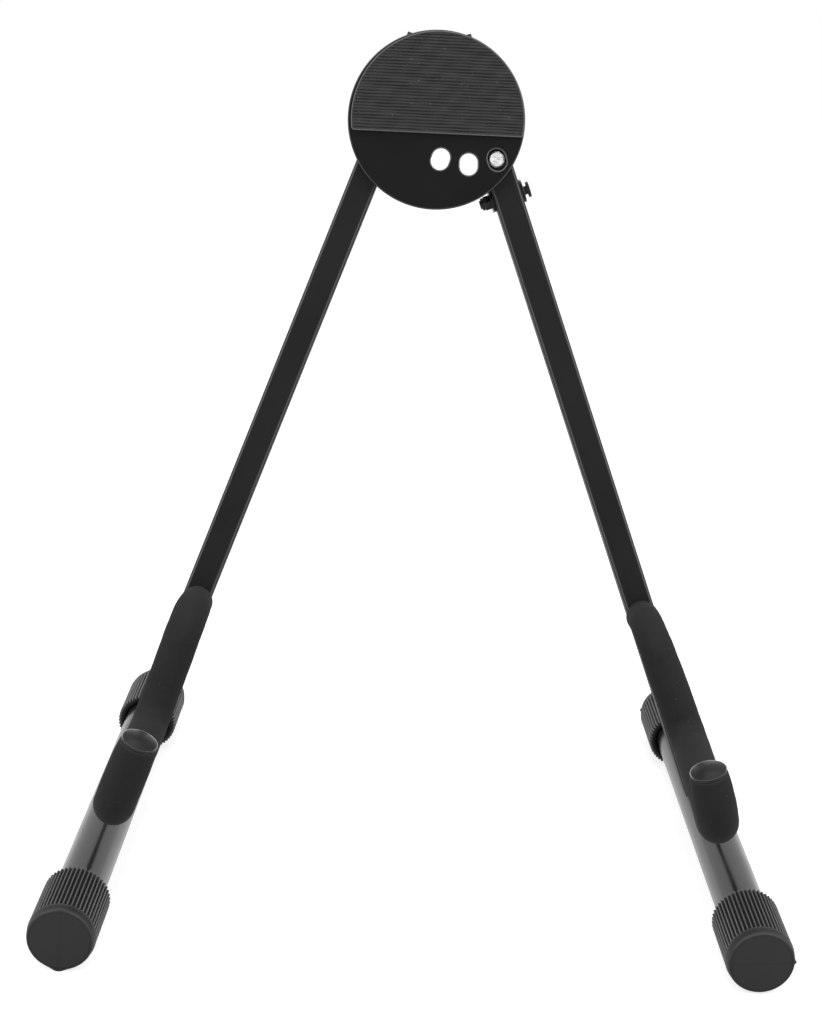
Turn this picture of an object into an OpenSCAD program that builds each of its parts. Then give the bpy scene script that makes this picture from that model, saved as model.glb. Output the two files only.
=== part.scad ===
// Folding cello stand: two splayed legs on long foot tubes, hung from a round head plate.
// Origin on the floor at the middle of the feet. X right, Y to the back, Z up. Millimetres.

/* [Head] */
// Diameter of the round steel head plate
head_diameter = 100; // [90:1:120]
// Thickness of the head plate
head_thickness = 3; // [2:0.5:5]
// Height of the head plate's centre above the floor
head_height = 404; // [340:1:480]
// Lean of the head and legs towards the back, in degrees
lean_back = 11.6; // [6:0.2:14]
// Round-over of the head plate's front edge
head_edge_round = 0.8; // [0.4:0.1:1.2]

/* [Head pad] */
// How far the pad stays inside the plate's edge
pad_margin = 1.2; // [0.6:0.2:4]
// Distance of the pad's straight lower edge below the plate's centre
pad_drop = 7.4; // [2:0.2:12]
// Thickness of the pad under its ribs
pad_base = 1.8; // [1:0.2:3]
// Height of the pad's ribs
rib_height = 0.7; // [0.4:0.1:1.2]
// Distance from one pad rib to the next
rib_pitch = 1.7; // [1.6:0.1:4]
// Width of the plain rim round the pad's ribs
pad_rim = 0.8; // [0.5:0.1:2]
// Radius of the pad's two lower corners
pad_corner = 1.6; // [0.5:0.1:4]

/* [Legs] */
// Width of the rectangular leg tube, seen from the front
leg_width = 16; // [14:0.5:20]
// Depth of the leg tube, seen from the side
leg_depth = 22; // [20:0.5:28]
// Wall of the leg tube
leg_wall = 1.5; // [1:0.1:2]
// Corner radius of the leg tube
leg_corner = 2; // [1.8:0.1:3]
// Angle of each leg from the middle plane, in the plane of the head
leg_splay = 20.2; // [18:0.2:22]
// Sideways distance of the leg pivots from the middle
pivot_side = 18; // [16:0.5:22]
// Height of the leg pivots above the plate's centre
pivot_up = 25; // [20:0.5:28]
// Length of leg tube above its pivot
leg_above = 20.6; // [16:0.2:24]
// Thickness of the leg plug's rim
plug_rim = 2; // [1:0.2:3]
// Depth of the leg plug inside the tube
plug_depth = 9; // [6:0.5:10]

/* [Pivot] */
// Shank diameter of the pivot bolt
pivot_shank = 8; // [6:0.5:8]
// Outside diameter of the pivot bush
bush_outer = 11; // [10:0.5:12]
// Thickness of the slip washer between plate and leg
slip_washer = 1.5; // [1:0.1:2.5]
// Outside diameter of the slip washers
washer_outer = 15; // [14:0.5:18]
// Shank diameter of the two screws that hold the left leg
fixing_shank = 6; // [5:0.5:6]
// Distance between the two screws of the left leg
fixing_gap = 24; // [20:0.5:26]

/* [Lock] */
// Distance of the lock slots from the leg pivot
slot_reach = 49; // [46:0.5:52]
// Width of each lock slot
slot_width = 10.2; // [9.6:0.1:11]
// Length of each lock slot, along the leg
slot_length = 12.3; // [12:0.1:14]
// Angle between lock positions
lock_step = 19; // [16:0.5:19]
// Diameter of the lock pin's tip
pin_tip = 9; // [8:0.1:9.2]
// Diameter of the lock pin's shank
pin_shank = 6; // [5:0.5:6]
// Distance of the lever's cross bolt below the leg pivot
bolt_reach = 70; // [69:0.5:76]
// Diameter of the lever's cross bolt
bolt_shank = 5; // [4:0.5:6]
// Travel of the lock lever, in degrees
lever_travel = 12; // [8:1:12]
// Thickness of the lock lever's sheet steel
lever_sheet = 1.4; // [1.2:0.1:2]
// Length of the lock lever below its cross bolt
lever_tail = 34; // [26:1:40]
// Width of the lock lever's tail and upper arm
tail_width = 14; // [12:0.5:15]
// Wire diameter of the lock spring
spring_wire = 1; // [0.8:0.1:1.2]
// Number of turns of the lock spring
spring_turns = 5; // [3:1:5]

/* [Feet] */
// Outside diameter of the foot tube
foot_tube = 26; // [24:0.5:28]
// Wall of the foot tube
foot_wall = 1.5; // [1:0.1:2.5]
// Length of the foot in front of the leg, with its cap
foot_front = 188; // [180:1:200]
// Length of the foot behind the leg, with its cap
foot_rear = 136; // [110:1:170]
// Angle by which each foot points outwards
toe_out = 2.5; // [1:0.1:3]

/* [Foot caps] */
// Diameter of the foot cap over its ribs
cap_diameter = 36; // [34:0.5:37]
// Length of the foot cap
cap_length = 46.5; // [40:0.5:56]
// Thickness of the cap's closed end
cap_end = 4; // [3:0.5:6]
// Length of the smooth band at the closed end
cap_band = 8; // [6:0.5:12]
// Depth of the grooves between the cap's ribs
cap_groove = 0.8; // [0.5:0.1:1.2]
// Number of ribs around the cap
cap_ribs = 50; // [24:1:60]
// Round-over of the closed end
cap_round = 2.5; // [1:0.1:4]
// Bevel round the inside of the cap's mouth
mouth_bevel = 0.8; // [0.3:0.1:1.5]

/* [Support arms] */
// Diameter of the steel arm rod
arm_rod = 10; // [8:0.5:11]
// Outside diameter of the arm's rubber sleeve
sleeve_outer = 19.8; // [18:0.2:22]
// Height of the arm's root above the floor
arm_root_height = 129.5; // [126:0.5:150]
// Distance of the arm's upright run in front of the leg
arm_stand_off = 31.5; // [26:0.5:34]
// Height of the shelf's centre line above the floor
shelf_height = 73; // [64:1:78]
// Length of the shelf between its two corners
shelf_length = 122; // [100:1:130]
// Bend radius at the root and under the run
run_bend = 18; // [16:0.5:19]
// Bend radius between shelf and lip
lip_bend = 22; // [18:0.5:24]
// Lip length of the left arm, from the shelf's corner
left_lip = 47; // [40:0.5:60]
// Lip length of the right arm, from the shelf's corner
right_lip = 37.5; // [34:0.5:60]
// Angle by which each lip leans inwards
lip_lean_in = 19; // [10:0.5:24]
// Angle by which each lip leans forwards
lip_lean_out = 6.6; // [0:0.2:10]
// Angle by which the left arm is turned inwards on its screw
left_arm_turn = 1.8; // [-3:0.1:3]
// Angle by which the right arm is turned inwards on its screw
right_arm_turn = -0.4; // [-3:0.1:3]
// Height of the end plug's dome
plug_dome = 3; // [2:0.2:4]

/* [Hidden] */

$fn = 64;
eps = 0.01;
over = 1;             // how far a cutter runs past the faces it cuts
fit_gap = 0.1;        // a piece seated in or on another
turn_gap = 0.08;      // a shaft in its bore, on the radius, and a turning face beside a fixed one
side_gap = 0.5;       // between the lever's cheeks and the leg
pin_gap = 0.3;        // between the lock pin's tip and the head plate

// Directions of the leaning head plane, and its centre.
side_dir = [1, 0, 0];
up_dir = [0, sin(lean_back), cos(lean_back)];
front_dir = [0, -cos(lean_back), sin(lean_back)];

// Depths behind the head plate's front face.
leg_face = -(head_thickness + slip_washer);
leg_middle = leg_face - leg_depth / 2;
leg_back = leg_face - leg_depth;

// The leg's middle line meets the foot's axis this far below the pivot.
foot_axis = cap_diameter / 2;
leg_run = (head_height + pivot_up * cos(lean_back) + leg_middle * sin(lean_back) - foot_axis)
    / (cos(leg_splay) * cos(lean_back));

// The middle of the foot's length lies on the X axis, which sets the head's place in Y.
foot_dir = [sin(toe_out), -cos(toe_out), 0];
foot_joint_y = (foot_front - foot_rear) / 2 * cos(toe_out);
leg_fall = pivot_up - leg_run * cos(leg_splay);
head_y = foot_joint_y - leg_fall * sin(lean_back) + leg_middle * cos(lean_back);
head_centre = [0, head_y, head_height];

// A point of the right leg: outwards from its middle line, down from its pivot, forward.
function leg_point(out, down, forward) = head_centre
    + (pivot_side + down * sin(leg_splay) + out * cos(leg_splay)) * side_dir
    + (pivot_up - down * cos(leg_splay) + out * sin(leg_splay)) * up_dir
    + forward * front_dir;

// How far down the leg a point at this forward distance is at a given height.
function down_at(height, forward) =
    (head_height + pivot_up * cos(lean_back) + forward * sin(lean_back) - height)
    / (cos(leg_splay) * cos(lean_back));

function unit(v) = v / norm(v);

foot_joint = leg_point(0, leg_run, leg_middle);

// Corner points of the support arm's centre line.
arm_root_down = down_at(arm_root_height, leg_face);
arm_corner_down = down_at(shelf_height, leg_face + arm_stand_off);
arm_seat = leg_point(0, arm_root_down, leg_back + leg_wall + fit_gap);
arm_face = leg_point(0, arm_root_down, leg_face + fit_gap);
arm_bend = leg_point(0, arm_root_down, leg_face + arm_stand_off);
arm_corner = leg_point(0, arm_corner_down, leg_face + arm_stand_off);
arm_tip_corner = arm_corner + shelf_length * foot_dir;
lip_dir = unit([-tan(lip_lean_in), -tan(lip_lean_out), 1]);
arm_radii = [0, run_bend, run_bend, lip_bend, 0];
plug_spigot = 10;

// Turns a direction inwards about the arm's screw.
function turned(v, turn) = v * cos(turn) - cross(front_dir, v) * sin(turn)
    + front_dir * (front_dir * v) * (1 - cos(turn));

// The right arm's corner points from a start on its screw's axis, the whole arm turned inwards.
function arm_line(start, lip, turn) =
    [for (point = [start, arm_bend, arm_corner, arm_tip_corner, arm_tip_corner + lip * lip_dir])
        arm_bend + turned(point - arm_bend, turn)];

// Places and frames

// The head plane: X to the right, Y up the plane, Z out of its front face.
module in_head()
    translate(head_centre)
        rotate([90 - lean_back, 0, 0])
            children();

// The right leg: X outwards, Y up the leg from its pivot, Z forward.
module in_leg()
    in_head()
        translate([pivot_side, pivot_up, 0])
            rotate([0, 0, leg_splay])
                children();

module left_side()
    mirror([1, 0, 0])
        children();

// The foot's axis as Z, pointing forward from the joint with the leg.
module on_foot()
    translate(foot_joint)
        rotate([0, 0, toe_out])
            rotate([90, 0, 0])
                children();

// Children along Z, from one point towards another.
module towards(start, end) {
    way = end - start;
    translate(start)
        rotate([0, acos(way.z / norm(way)), atan2(way.y, way.x)])
            children();
}

// General shapes

// A bar along Z with rounded corners, centred in X and Y.
module round_bar(width, depth, corner, length) {
    translate([-width / 2 + corner, -depth / 2, 0])
        cube([width - 2 * corner, depth, length]);
    translate([-width / 2, -depth / 2 + corner, 0])
        cube([width, depth - 2 * corner, length]);
    for (x = [-1, 1], y = [-1, 1])
        translate([x * (width / 2 - corner), y * (depth / 2 - corner), 0])
            cylinder(r = corner, h = length);
}

// A slot-shaped bar along Z, long in Y.
module slot_bar(width, length, height) {
    for (y = [-1, 1])
        translate([0, y * (length - width) / 2, 0])
            cylinder(d = width, h = height);
    translate([-width / 2, -(length - width) / 2, 0])
        cube([width, length - width, height]);
}

module ring(outer, inner, height)
    difference() {
        cylinder(d = outer, h = height);
        translate([0, 0, -eps])
            cylinder(d = inner, h = height + 2 * eps);
    }

// Width over the flats of the standard nut for a shank.
function nut_flats(shank) = round(shank * 1.63);

// A hexagonal nut along Z: chamfered seat, and a round collar for its locking ring.
module lock_nut(shank, height) {
    flats = nut_flats(shank);
    seat = flats + nut_edge;
    difference() {
        union() {
            intersection() {
                cylinder(d = flats / cos(30), h = height - nut_collar, $fn = 6);
                cylinder(d1 = seat, d2 = seat + 2 * height, h = height);
            }
            cylinder(d = flats - 2 * nut_edge, h = height);
        }
        translate([0, 0, -eps])
            cylinder(d = shank, h = height + 2 * eps);
    }
}

nut_edge = 0.4;
nut_collar = 1.8;

module bent_profile(outer, inner)
    if (inner > 0)
        difference() {
            circle(r = outer);
            circle(r = inner);
        }
    else
        circle(r = outer);

// A round rod or tube along corner points, each corner bent to its own radius. A bend is drawn
// a hair thinner than the straight runs, whose ends lap over it.
module bent_tube(points, radii, outer, inner) {
    last = len(points) - 1;
    setback = [for (i = [0:last])
        i == 0 || i == last ? 0
        : radii[i] * tan(turn_at(points, i) / 2)];
    for (i = [0:last - 1]) {
        way = unit(points[i + 1] - points[i]);
        start_lap = i == 0 ? 0 : bend_lap;
        end_lap = i == last - 1 ? 0 : bend_lap;
        towards(points[i] + (setback[i] - start_lap) * way, points[i + 1])
            linear_extrude(norm(points[i + 1] - points[i]) - setback[i] - setback[i + 1]
                    + start_lap + end_lap)
                bent_profile(outer, inner);
    }
    for (i = [1:last - 1])
        bend(points[i], unit(points[i] - points[i - 1]), unit(points[i + 1] - points[i]), radii[i])
            bent_profile(outer - bend_ease, inner > 0 ? inner + bend_ease : 0);
}

function turn_at(points, i) =
    acos(unit(points[i] - points[i - 1]) * unit(points[i + 1] - points[i]));

// Turns the child profile round a corner, from one direction into the next.
module bend(corner, way_in, way_out, radius) {
    turn = acos(way_in * way_out);
    axis = unit(cross(way_in, way_out));
    inward = cross(axis, way_in);
    centre = corner - radius * tan(turn / 2) * way_in + radius * inward;
    multmatrix([
        [-inward.x, way_in.x, axis.x, centre.x],
        [-inward.y, way_in.y, axis.y, centre.y],
        [-inward.z, way_in.z, axis.z, centre.z],
        [0, 0, 0, 1]
    ])
        rotate_extrude(angle = turn)
            translate([radius, 0])
                children();
}

bend_lap = 0.3;
bend_ease = 0.02;

// Head plate

// The three lock positions: legs open, half folded and folded.
module lock_slots()
    for (i = [0:2])
        translate([pivot_side, pivot_up, 0])
            rotate([0, 0, leg_splay - i * lock_step])
                translate([0, -slot_reach, 0]) {
                    translate([0, 0, -head_thickness - over])
                        slot_bar(slot_width, slot_length, head_thickness + 2 * over);
                    translate([0, 0, -slot_sink])
                        slot_bar(slot_width + 2 * slot_sink, slot_length + 2 * slot_sink, over);
                }

module sunk_hole(shank, head) {
    translate([0, 0, -head_thickness - over])
        cylinder(d = shank + 2 * fit_gap, h = head_thickness + 2 * over);
    translate([0, 0, -head_sink])
        cylinder(d1 = shank + 2 * fit_gap, d2 = head + 2 * fit_gap, h = head_sink + eps);
}

slot_sink = 0.35;     // shallow step round the mouth of each slot
head_sink = head_thickness - 0.75;
head_ratio = 1.9;     // countersunk head over shank
pivot_head = pivot_shank * head_ratio;
fixing_head = fixing_shank * head_ratio;

module head_plate()
    color("#202022")
        in_head()
            difference() {
                rotate_extrude($fn = 128)
                    plate_profile();
                lock_slots();
                translate([pivot_side, pivot_up, 0])
                    sunk_hole(pivot_shank, pivot_head);
                at_fixings()
                    sunk_hole(fixing_shank, fixing_head);
            }

module plate_profile() {
    radius = head_diameter / 2;
    translate([0, -head_thickness])
        square([radius, head_thickness - head_edge_round]);
    translate([0, -head_edge_round - eps])
        square([radius - head_edge_round, head_edge_round + eps]);
    intersection() {
        translate([radius - head_edge_round, -head_edge_round])
            circle(r = head_edge_round);
        translate([radius - head_edge_round, -head_edge_round])
            square(head_edge_round);
    }
}

// The two screws of the left leg, in the head's frame.
module at_fixings()
    mirror([1, 0, 0])
        translate([pivot_side, pivot_up, 0])
            rotate([0, 0, leg_splay])
                for (i = [0:1])
                    translate([0, -i * fixing_gap, 0])
                        children();

// Ribbed pad: a round segment whose ribs run straight across, inside a plain rim.
pad_radius = head_diameter / 2 - pad_margin;
pad_rise = pad_radius + pad_drop;
rib_count = floor(pad_rise / rib_pitch - 0.5);
pad_front = pad_base + rib_height;

module pad_blank()
    difference() {
        cylinder(r = pad_radius, h = pad_front, $fn = 128);
        translate([-pad_radius - over, -pad_radius - over, -over])
            cube([2 * (pad_radius + over), pad_radius + over - pad_drop, pad_front + 2 * over]);
        pad_corner_cut();
        mirror([1, 0, 0])
            pad_corner_cut();
    }

// Centre of the round of the pad's lower right corner, and what lies outside that round.
pad_corner_up = pad_corner - pad_drop;
pad_corner_mid = [sqrt(pow(pad_radius - pad_corner, 2) - pow(pad_corner_up, 2)), pad_corner_up];

module pad_corner_cut()
    difference() {
        translate([0, 0, -over])
            linear_extrude(pad_front + 2 * over)
                polygon([
                    pad_corner_mid, [pad_corner_mid.x, -pad_drop - over],
                    [pad_radius + over, -pad_drop - over],
                    pad_corner_mid * (pad_radius + over) / norm(pad_corner_mid)
                ]);
        translate([pad_corner_mid.x, pad_corner_mid.y, -2 * over])
            cylinder(r = pad_corner, h = pad_front + 4 * over);
    }

module head_pad()
    color("#3a3b3d")
        in_head()
            difference() {
                pad_blank();
                intersection() {
                    translate([0, 0, pad_base - over])
                        cylinder(r = pad_radius - pad_rim, h = rib_height + 2 * over, $fn = 128);
                    for (i = [0:rib_count - 1])
                        translate([0, -pad_drop + (i + 1) * rib_pitch, pad_front])
                            rotate([0, 90, 0])
                                pad_groove();
                }
            }

// Half widths of a groove's mouth and floor, over the rib pitch.
groove_share = 0.3;
floor_share = 0.1;

// A vee groove between two ribs, with a narrow flat floor.
module pad_groove() {
    half = rib_pitch * groove_share;
    floor_half = rib_pitch * floor_share;
    translate([0, 0, -pad_radius])
        linear_extrude(2 * pad_radius)
            polygon([
                [-eps, -half], [-eps, half], [rib_height, floor_half], [rib_height, -floor_half]
            ]);
}

// Fasteners of the head

// A countersunk screw whose head lies flush with the plate's front face.
module sunk_screw(shank, head, length) {
    translate([0, 0, -head_sink])
        cylinder(d1 = shank, d2 = head, h = head_sink);
    translate([0, 0, -length])
        cylinder(d = shank, h = length);
}

nut_height = 6;
thread_out = 1;       // thread standing out of a nut
back_washer = 1.2;
pivot_stack = -leg_back + turn_gap + back_washer;

module pivot_bolt()
    color("#606266")
        in_head()
            translate([pivot_side, pivot_up, 0])
                sunk_screw(pivot_shank, pivot_head, pivot_stack + nut_height + thread_out);

module pivot_bush()
    color("#8a8c90")
        in_head()
            translate([pivot_side, pivot_up, leg_back - turn_gap])
                ring(bush_outer, pivot_shank + 2 * fit_gap, leg_depth + 2 * turn_gap);

module pivot_washers()
    color("#d8d6cf")
        in_head()
            translate([pivot_side, pivot_up, 0]) {
                translate([0, 0, leg_face + turn_gap])
                    ring(washer_outer, pivot_shank + 2 * fit_gap, slip_washer - turn_gap);
                translate([0, 0, -pivot_stack])
                    ring(washer_outer, pivot_shank + 2 * fit_gap, back_washer);
            }

module pivot_nut()
    color("#606266")
        in_head()
            translate([pivot_side, pivot_up, -pivot_stack])
                rotate([180, 0, 0])
                    lock_nut(pivot_shank, nut_height);

module left_leg_screws()
    color("#606266")
        in_head()
            at_fixings()
                sunk_screw(fixing_shank, fixing_head, -leg_back + nut_height + thread_out);

module left_leg_spacers()
    color("#606266")
        in_head()
            at_fixings()
                translate([0, 0, leg_face])
                    ring(washer_outer, fixing_shank + 2 * fit_gap, slip_washer);

module left_leg_nuts()
    color("#606266")
        in_head()
            at_fixings()
                translate([0, 0, leg_back])
                    rotate([180, 0, 0])
                        lock_nut(fixing_shank, nut_height);

// Legs

// The hollow leg with its end cut to sit on the foot tube.
module leg_tube()
    difference() {
        in_leg()
            translate([0, leg_above, leg_middle])
                rotate([90, 0, 0])
                    difference() {
                        round_bar(leg_width, leg_depth, leg_corner, leg_above + leg_run);
                        translate([0, 0, -eps])
                            round_bar(leg_width - 2 * leg_wall, leg_depth - 2 * leg_wall,
                                leg_corner - leg_wall, leg_above + leg_run + 2 * eps);
                    }
        on_foot()
            cylinder(d = foot_tube + 2 * fit_gap, h = 4 * leg_depth, center = true);
        translate([foot_joint.x, foot_joint.y, foot_axis - foot_tube])
            cube(2 * foot_tube, center = true);
        in_leg()
            translate([0, -arm_root_down, leg_face - leg_wall - over])
                cylinder(d = arm_rod + 2 * fit_gap, h = leg_wall + 2 * over);
        in_leg()
            translate([0, -arm_root_down, leg_back - over])
                cylinder(d = arm_screw + 2 * fit_gap, h = leg_wall + 2 * over);
    }

arm_screw = 6;

module left_leg()
    color("#1d1d1f")
        difference() {
            left_side()
                leg_tube();
            in_head()
                at_fixings()
                    translate([0, 0, leg_back - over])
                        cylinder(d = fixing_shank + 2 * fit_gap, h = leg_depth + 2 * over);
        }

module right_leg()
    color("#1d1d1f")
        difference() {
            leg_tube();
            in_leg()
                translate([0, 0, leg_back - over])
                    cylinder(d = bush_outer + 2 * turn_gap, h = leg_depth + 2 * over);
            in_leg()
                translate([0, -pin_reach, leg_middle])
                    slot_bar(pin_tip + 2 * pin_play, pin_tip + 2 * pin_sweep, leg_depth);
            in_leg()
                translate([0, -pin_reach, leg_back - over])
                    slot_bar(pin_shank + 2 * pin_play, pin_shank + 2 * pin_sweep, leg_wall + 2 * over);
            in_leg()
                translate([-leg_width, -bolt_reach, leg_middle])
                    rotate([0, 90, 0])
                        cylinder(d = bolt_shank + 2 * fit_gap, h = 2 * leg_width);
        }

plug_corner = 1;

module leg_plug()
    in_leg()
        translate([0, leg_above + plug_rim, leg_middle])
            rotate([90, 0, 0]) {
                round_bar(leg_width, leg_depth, leg_corner, plug_rim - fit_gap);
                translate([0, 0, plug_rim - 2 * fit_gap])
                    round_bar(leg_width - 2 * (leg_wall + fit_gap), leg_depth - 2 * (leg_wall + fit_gap),
                        plug_corner, plug_depth);
            }

module left_leg_plug()
    color("#2c2c2e")
        left_side()
            leg_plug();

module right_leg_plug()
    color("#2c2c2e")
        leg_plug();

// Feet

module foot_tube_piece()
    on_foot()
        translate([0, 0, -(foot_rear - cap_end - fit_gap)])
            ring(foot_tube, foot_tube - 2 * foot_wall, foot_front + foot_rear - 2 * (cap_end + fit_gap));

module left_foot_tube()
    color("#3c3d40")
        left_side()
            foot_tube_piece();

module right_foot_tube()
    color("#3c3d40")
        foot_tube_piece();

// A rubber cap, its mouth at Z = 0 and its closed end at Z = cap_length.
module foot_cap()
    difference() {
        union() {
            linear_extrude(cap_length - cap_band)
                rib_outline();
            rotate_extrude($fn = 128)
                cap_end_profile();
        }
        translate([0, 0, -over])
            cylinder(d = cap_bore, h = cap_length - cap_end + over);
        translate([0, 0, -eps])
            cylinder(d1 = cap_bore + 2 * mouth_bevel, d2 = cap_bore, h = mouth_bevel);
    }

cap_bore = foot_tube + 2 * fit_gap;
cap_radius = cap_diameter / 2;
cap_crown = 0.8;      // how far the closed end bulges
crest_drop = 0.1;     // how far the ribs lie under the smooth band
band_lap = 1;         // how far the band's core runs into the ribs
crown_steps = 8;

// Where a rib's foot, crest, crest and foot lie, over the rib's share of the turn.
rib_shape = [0.02, 0.18, 0.62, 0.78];

// Radius of the sphere whose cap of height cap_crown spans the flat of the closed end.
crown_radius = (pow(cap_radius - cap_round, 2) + pow(cap_crown, 2)) / (2 * cap_crown);

// Half section of the smooth band, its round edge and the shallow crown.
module cap_end_profile() {
    shoulder = cap_length - cap_round - cap_crown;
    band = cap_length - cap_band;
    core = cap_radius - 2 * cap_groove;
    polygon(concat(
        [[0, band - band_lap], [core, band - band_lap], [core, band], [cap_radius, band]],
        [for (turn = [0:10:90])
            [cap_radius - cap_round + cap_round * cos(turn), shoulder + cap_round * sin(turn)]],
        [for (step = [1:crown_steps])
            let (x = (cap_radius - cap_round) * (1 - step / crown_steps))
            [x, cap_length - crown_radius + sqrt(pow(crown_radius, 2) - x * x)]]
    ));
}

// Each rib has a flat crest and straight flanks.
module rib_outline()
    polygon([for (i = [0:cap_ribs - 1], corner = [0:3])
        let (
            turn = 360 / cap_ribs * (i + rib_shape[corner]),
            radius = cap_radius - crest_drop - (corner == 1 || corner == 2 ? 0 : cap_groove)
        )
        radius * [cos(turn), sin(turn)]]);

module front_cap()
    on_foot()
        translate([0, 0, foot_front - cap_length])
            foot_cap();

module rear_cap()
    on_foot()
        translate([0, 0, cap_length - foot_rear])
            rotate([0, 180, 0])
                foot_cap();

module left_front_cap()
    color("#343436")
        left_side()
            front_cap();

module left_rear_cap()
    color("#343436")
        left_side()
            rear_cap();

module right_front_cap()
    color("#343436")
        front_cap();

module right_rear_cap()
    color("#343436")
        rear_cap();

// Support arms

arm_thread = 14;      // depth of the tapped hole in the rod's root
spigot_gap = 1;       // between the rod's end and the plug's spigot

module arm_rod_piece(lip, turn)
    difference() {
        bent_tube(arm_line(arm_seat, lip - plug_spigot - spigot_gap, turn), arm_radii, arm_rod / 2, 0);
        in_leg()
            translate([0, -arm_root_down, leg_back])
                cylinder(d = arm_screw, h = leg_wall + arm_thread);
    }

module arm_sleeve_piece(lip, turn)
    bent_tube(arm_line(arm_face, lip, turn), arm_radii, sleeve_outer / 2, arm_rod / 2 + fit_gap);

module arm_plug_piece(lip, turn) {
    line = arm_line(arm_face, lip, turn);
    towards(line[4], 2 * line[4] - line[3]) {
        translate([0, 0, fit_gap])
            rotate_extrude()
                plug_profile();
        translate([0, 0, -plug_spigot])
            cylinder(d = arm_rod, h = plug_spigot + 2 * fit_gap);
    }
}

// The plug's head: a short upright rim under a shallow dome.
module plug_profile() {
    radius = sleeve_outer / 2 - plug_inset;
    dome = (pow(radius, 2) + pow(plug_dome, 2)) / (2 * plug_dome);
    square([radius, plug_edge]);
    intersection() {
        translate([0, plug_edge + plug_dome - dome])
            circle(r = dome, $fn = 256);
        translate([0, plug_edge])
            square([radius, plug_dome]);
    }
}

plug_inset = 0.3;     // how far the plug's head lies inside the sleeve's outside
plug_edge = 0.8;

// A button-head screw through the leg's back wall into the rod's root.
module arm_screw_piece()
    in_leg()
        translate([0, -arm_root_down, leg_back])
            rotate([180, 0, 0]) {
                button_head(arm_screw_head, arm_screw_dome, arm_screw_socket);
                translate([0, 0, -arm_screw_length])
                    cylinder(d = arm_screw, h = arm_screw_length + arm_screw_dome / 4);
            }

arm_screw_head = 10.5;
arm_screw_dome = 3.3;
arm_screw_socket = 4; // over its flats
arm_screw_length = leg_wall + arm_thread - over;

// A low domed head along Z with a hexagonal socket half its height deep.
module button_head(width, height, socket) {
    sphere_r = (pow(width / 2, 2) + pow(height, 2)) / (2 * height);
    difference() {
        rotate_extrude()
            intersection() {
                translate([0, height - sphere_r])
                    circle(r = sphere_r, $fn = 128);
                square([width / 2, height]);
            }
        translate([0, 0, height / 2])
            cylinder(d = socket / cos(30), h = height, $fn = 6);
    }
}

module left_arm_rod()
    color("#55575b")
        left_side()
            arm_rod_piece(left_lip, left_arm_turn);

module left_arm_sleeve()
    color("#2a2a2b")
        left_side()
            arm_sleeve_piece(left_lip, left_arm_turn);

module left_arm_plug()
    color("#3f4043")
        left_side()
            arm_plug_piece(left_lip, left_arm_turn);

module left_arm_screw()
    color("#606266")
        left_side()
            arm_screw_piece();

module right_arm_rod()
    color("#55575b")
        arm_rod_piece(right_lip, right_arm_turn);

module right_arm_sleeve()
    color("#2a2a2b")
        arm_sleeve_piece(right_lip, right_arm_turn);

module right_arm_plug()
    color("#3f4043")
        arm_plug_piece(right_lip, right_arm_turn);

module right_arm_screw()
    color("#606266")
        arm_screw_piece();

// Lock lever: a rocker of folded sheet that straddles the leg from behind

pin_rise = 0.5;       // the pin stands this much nearer the pivot than the slot's middle
pin_reach = slot_reach - pin_rise;
pin_play = 0.5;
pin_arm = bolt_reach - pin_reach;
pin_sweep = leg_depth / 2 * sin(lever_travel) + pin_arm * (1 - cos(lever_travel)) + pin_play;
web_gap = 0.9;        // between the lever's web and the leg's back
web_above = 9;        // lever above the pin
web_lap = 2;          // where the tail runs into the web
cheek_radius = 6.3;
ear_top = cheek_radius + 1;
lever_inner = leg_width + 2 * side_gap;
lever_outer = lever_inner + 2 * lever_sheet;
web_front = leg_back - web_gap;
web_top = pin_arm + web_above;
tail_flare = lever_travel + 3;
tail_round = 5.5;

// Profiles in the leg's side view: X up the leg from the cross bolt, Y forward from it.
web_y = web_front - leg_middle;

module cheek_profile()
    difference() {
        union() {
            circle(r = cheek_radius);
            polygon([
                [-cheek_radius, 0], [cheek_radius, 0], [ear_top, web_y],
                [ear_top, web_y - lever_sheet], [-cheek_radius, web_y - lever_sheet]
            ]);
        }
        circle(d = bolt_shank + 2 * turn_gap);
    }

// The web joins the cheeks behind the leg, and the upper arm runs up from it to the pin.
module web_profile(top)
    translate([0, web_y - lever_sheet])
        square([top, lever_sheet]);

// The tail flares away from the leg, so that it can be pressed in.
module tail_profile()
    polygon([
        [web_lap, web_y], [0, web_y], [-lever_tail, web_y - lever_tail * tan(tail_flare)],
        [-lever_tail, web_y - lever_tail * tan(tail_flare) - lever_sheet / cos(tail_flare)],
        [0, web_y - lever_sheet], [web_lap, web_y - lever_sheet]
    ]);

// Children drawn in the side profile, extruded across the leg from one side to the other.
module across_leg(from, to)
    in_leg()
        translate([from, -bolt_reach, leg_middle])
            rotate([0, 90, 0])
                rotate([0, 0, 90])
                    linear_extrude(to - from)
                        children();

module lock_lever()
    color("#1f2021")
        difference() {
            union() {
                across_leg(-lever_outer / 2, lever_outer / 2)
                    web_profile(ear_top);
                across_leg(-tail_width / 2, tail_width / 2)
                    web_profile(web_top);
                across_leg(-tail_width / 2, tail_width / 2)
                    tail_profile();
                across_leg(lever_inner / 2, lever_outer / 2)
                    cheek_profile();
                across_leg(-lever_outer / 2, -lever_inner / 2)
                    cheek_profile();
            }
            in_leg()
                translate([0, -pin_reach, web_front - 2 * lever_sheet])
                    cylinder(d = pin_neck + 2 * fit_gap, h = 3 * lever_sheet);
            in_leg() {
                translate([0, -bolt_reach - lever_tail, 0])
                    end_corners();
                translate([0, -bolt_reach + web_top, 0])
                    mirror([0, 1, 0])
                        end_corners();
            }
        }

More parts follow.
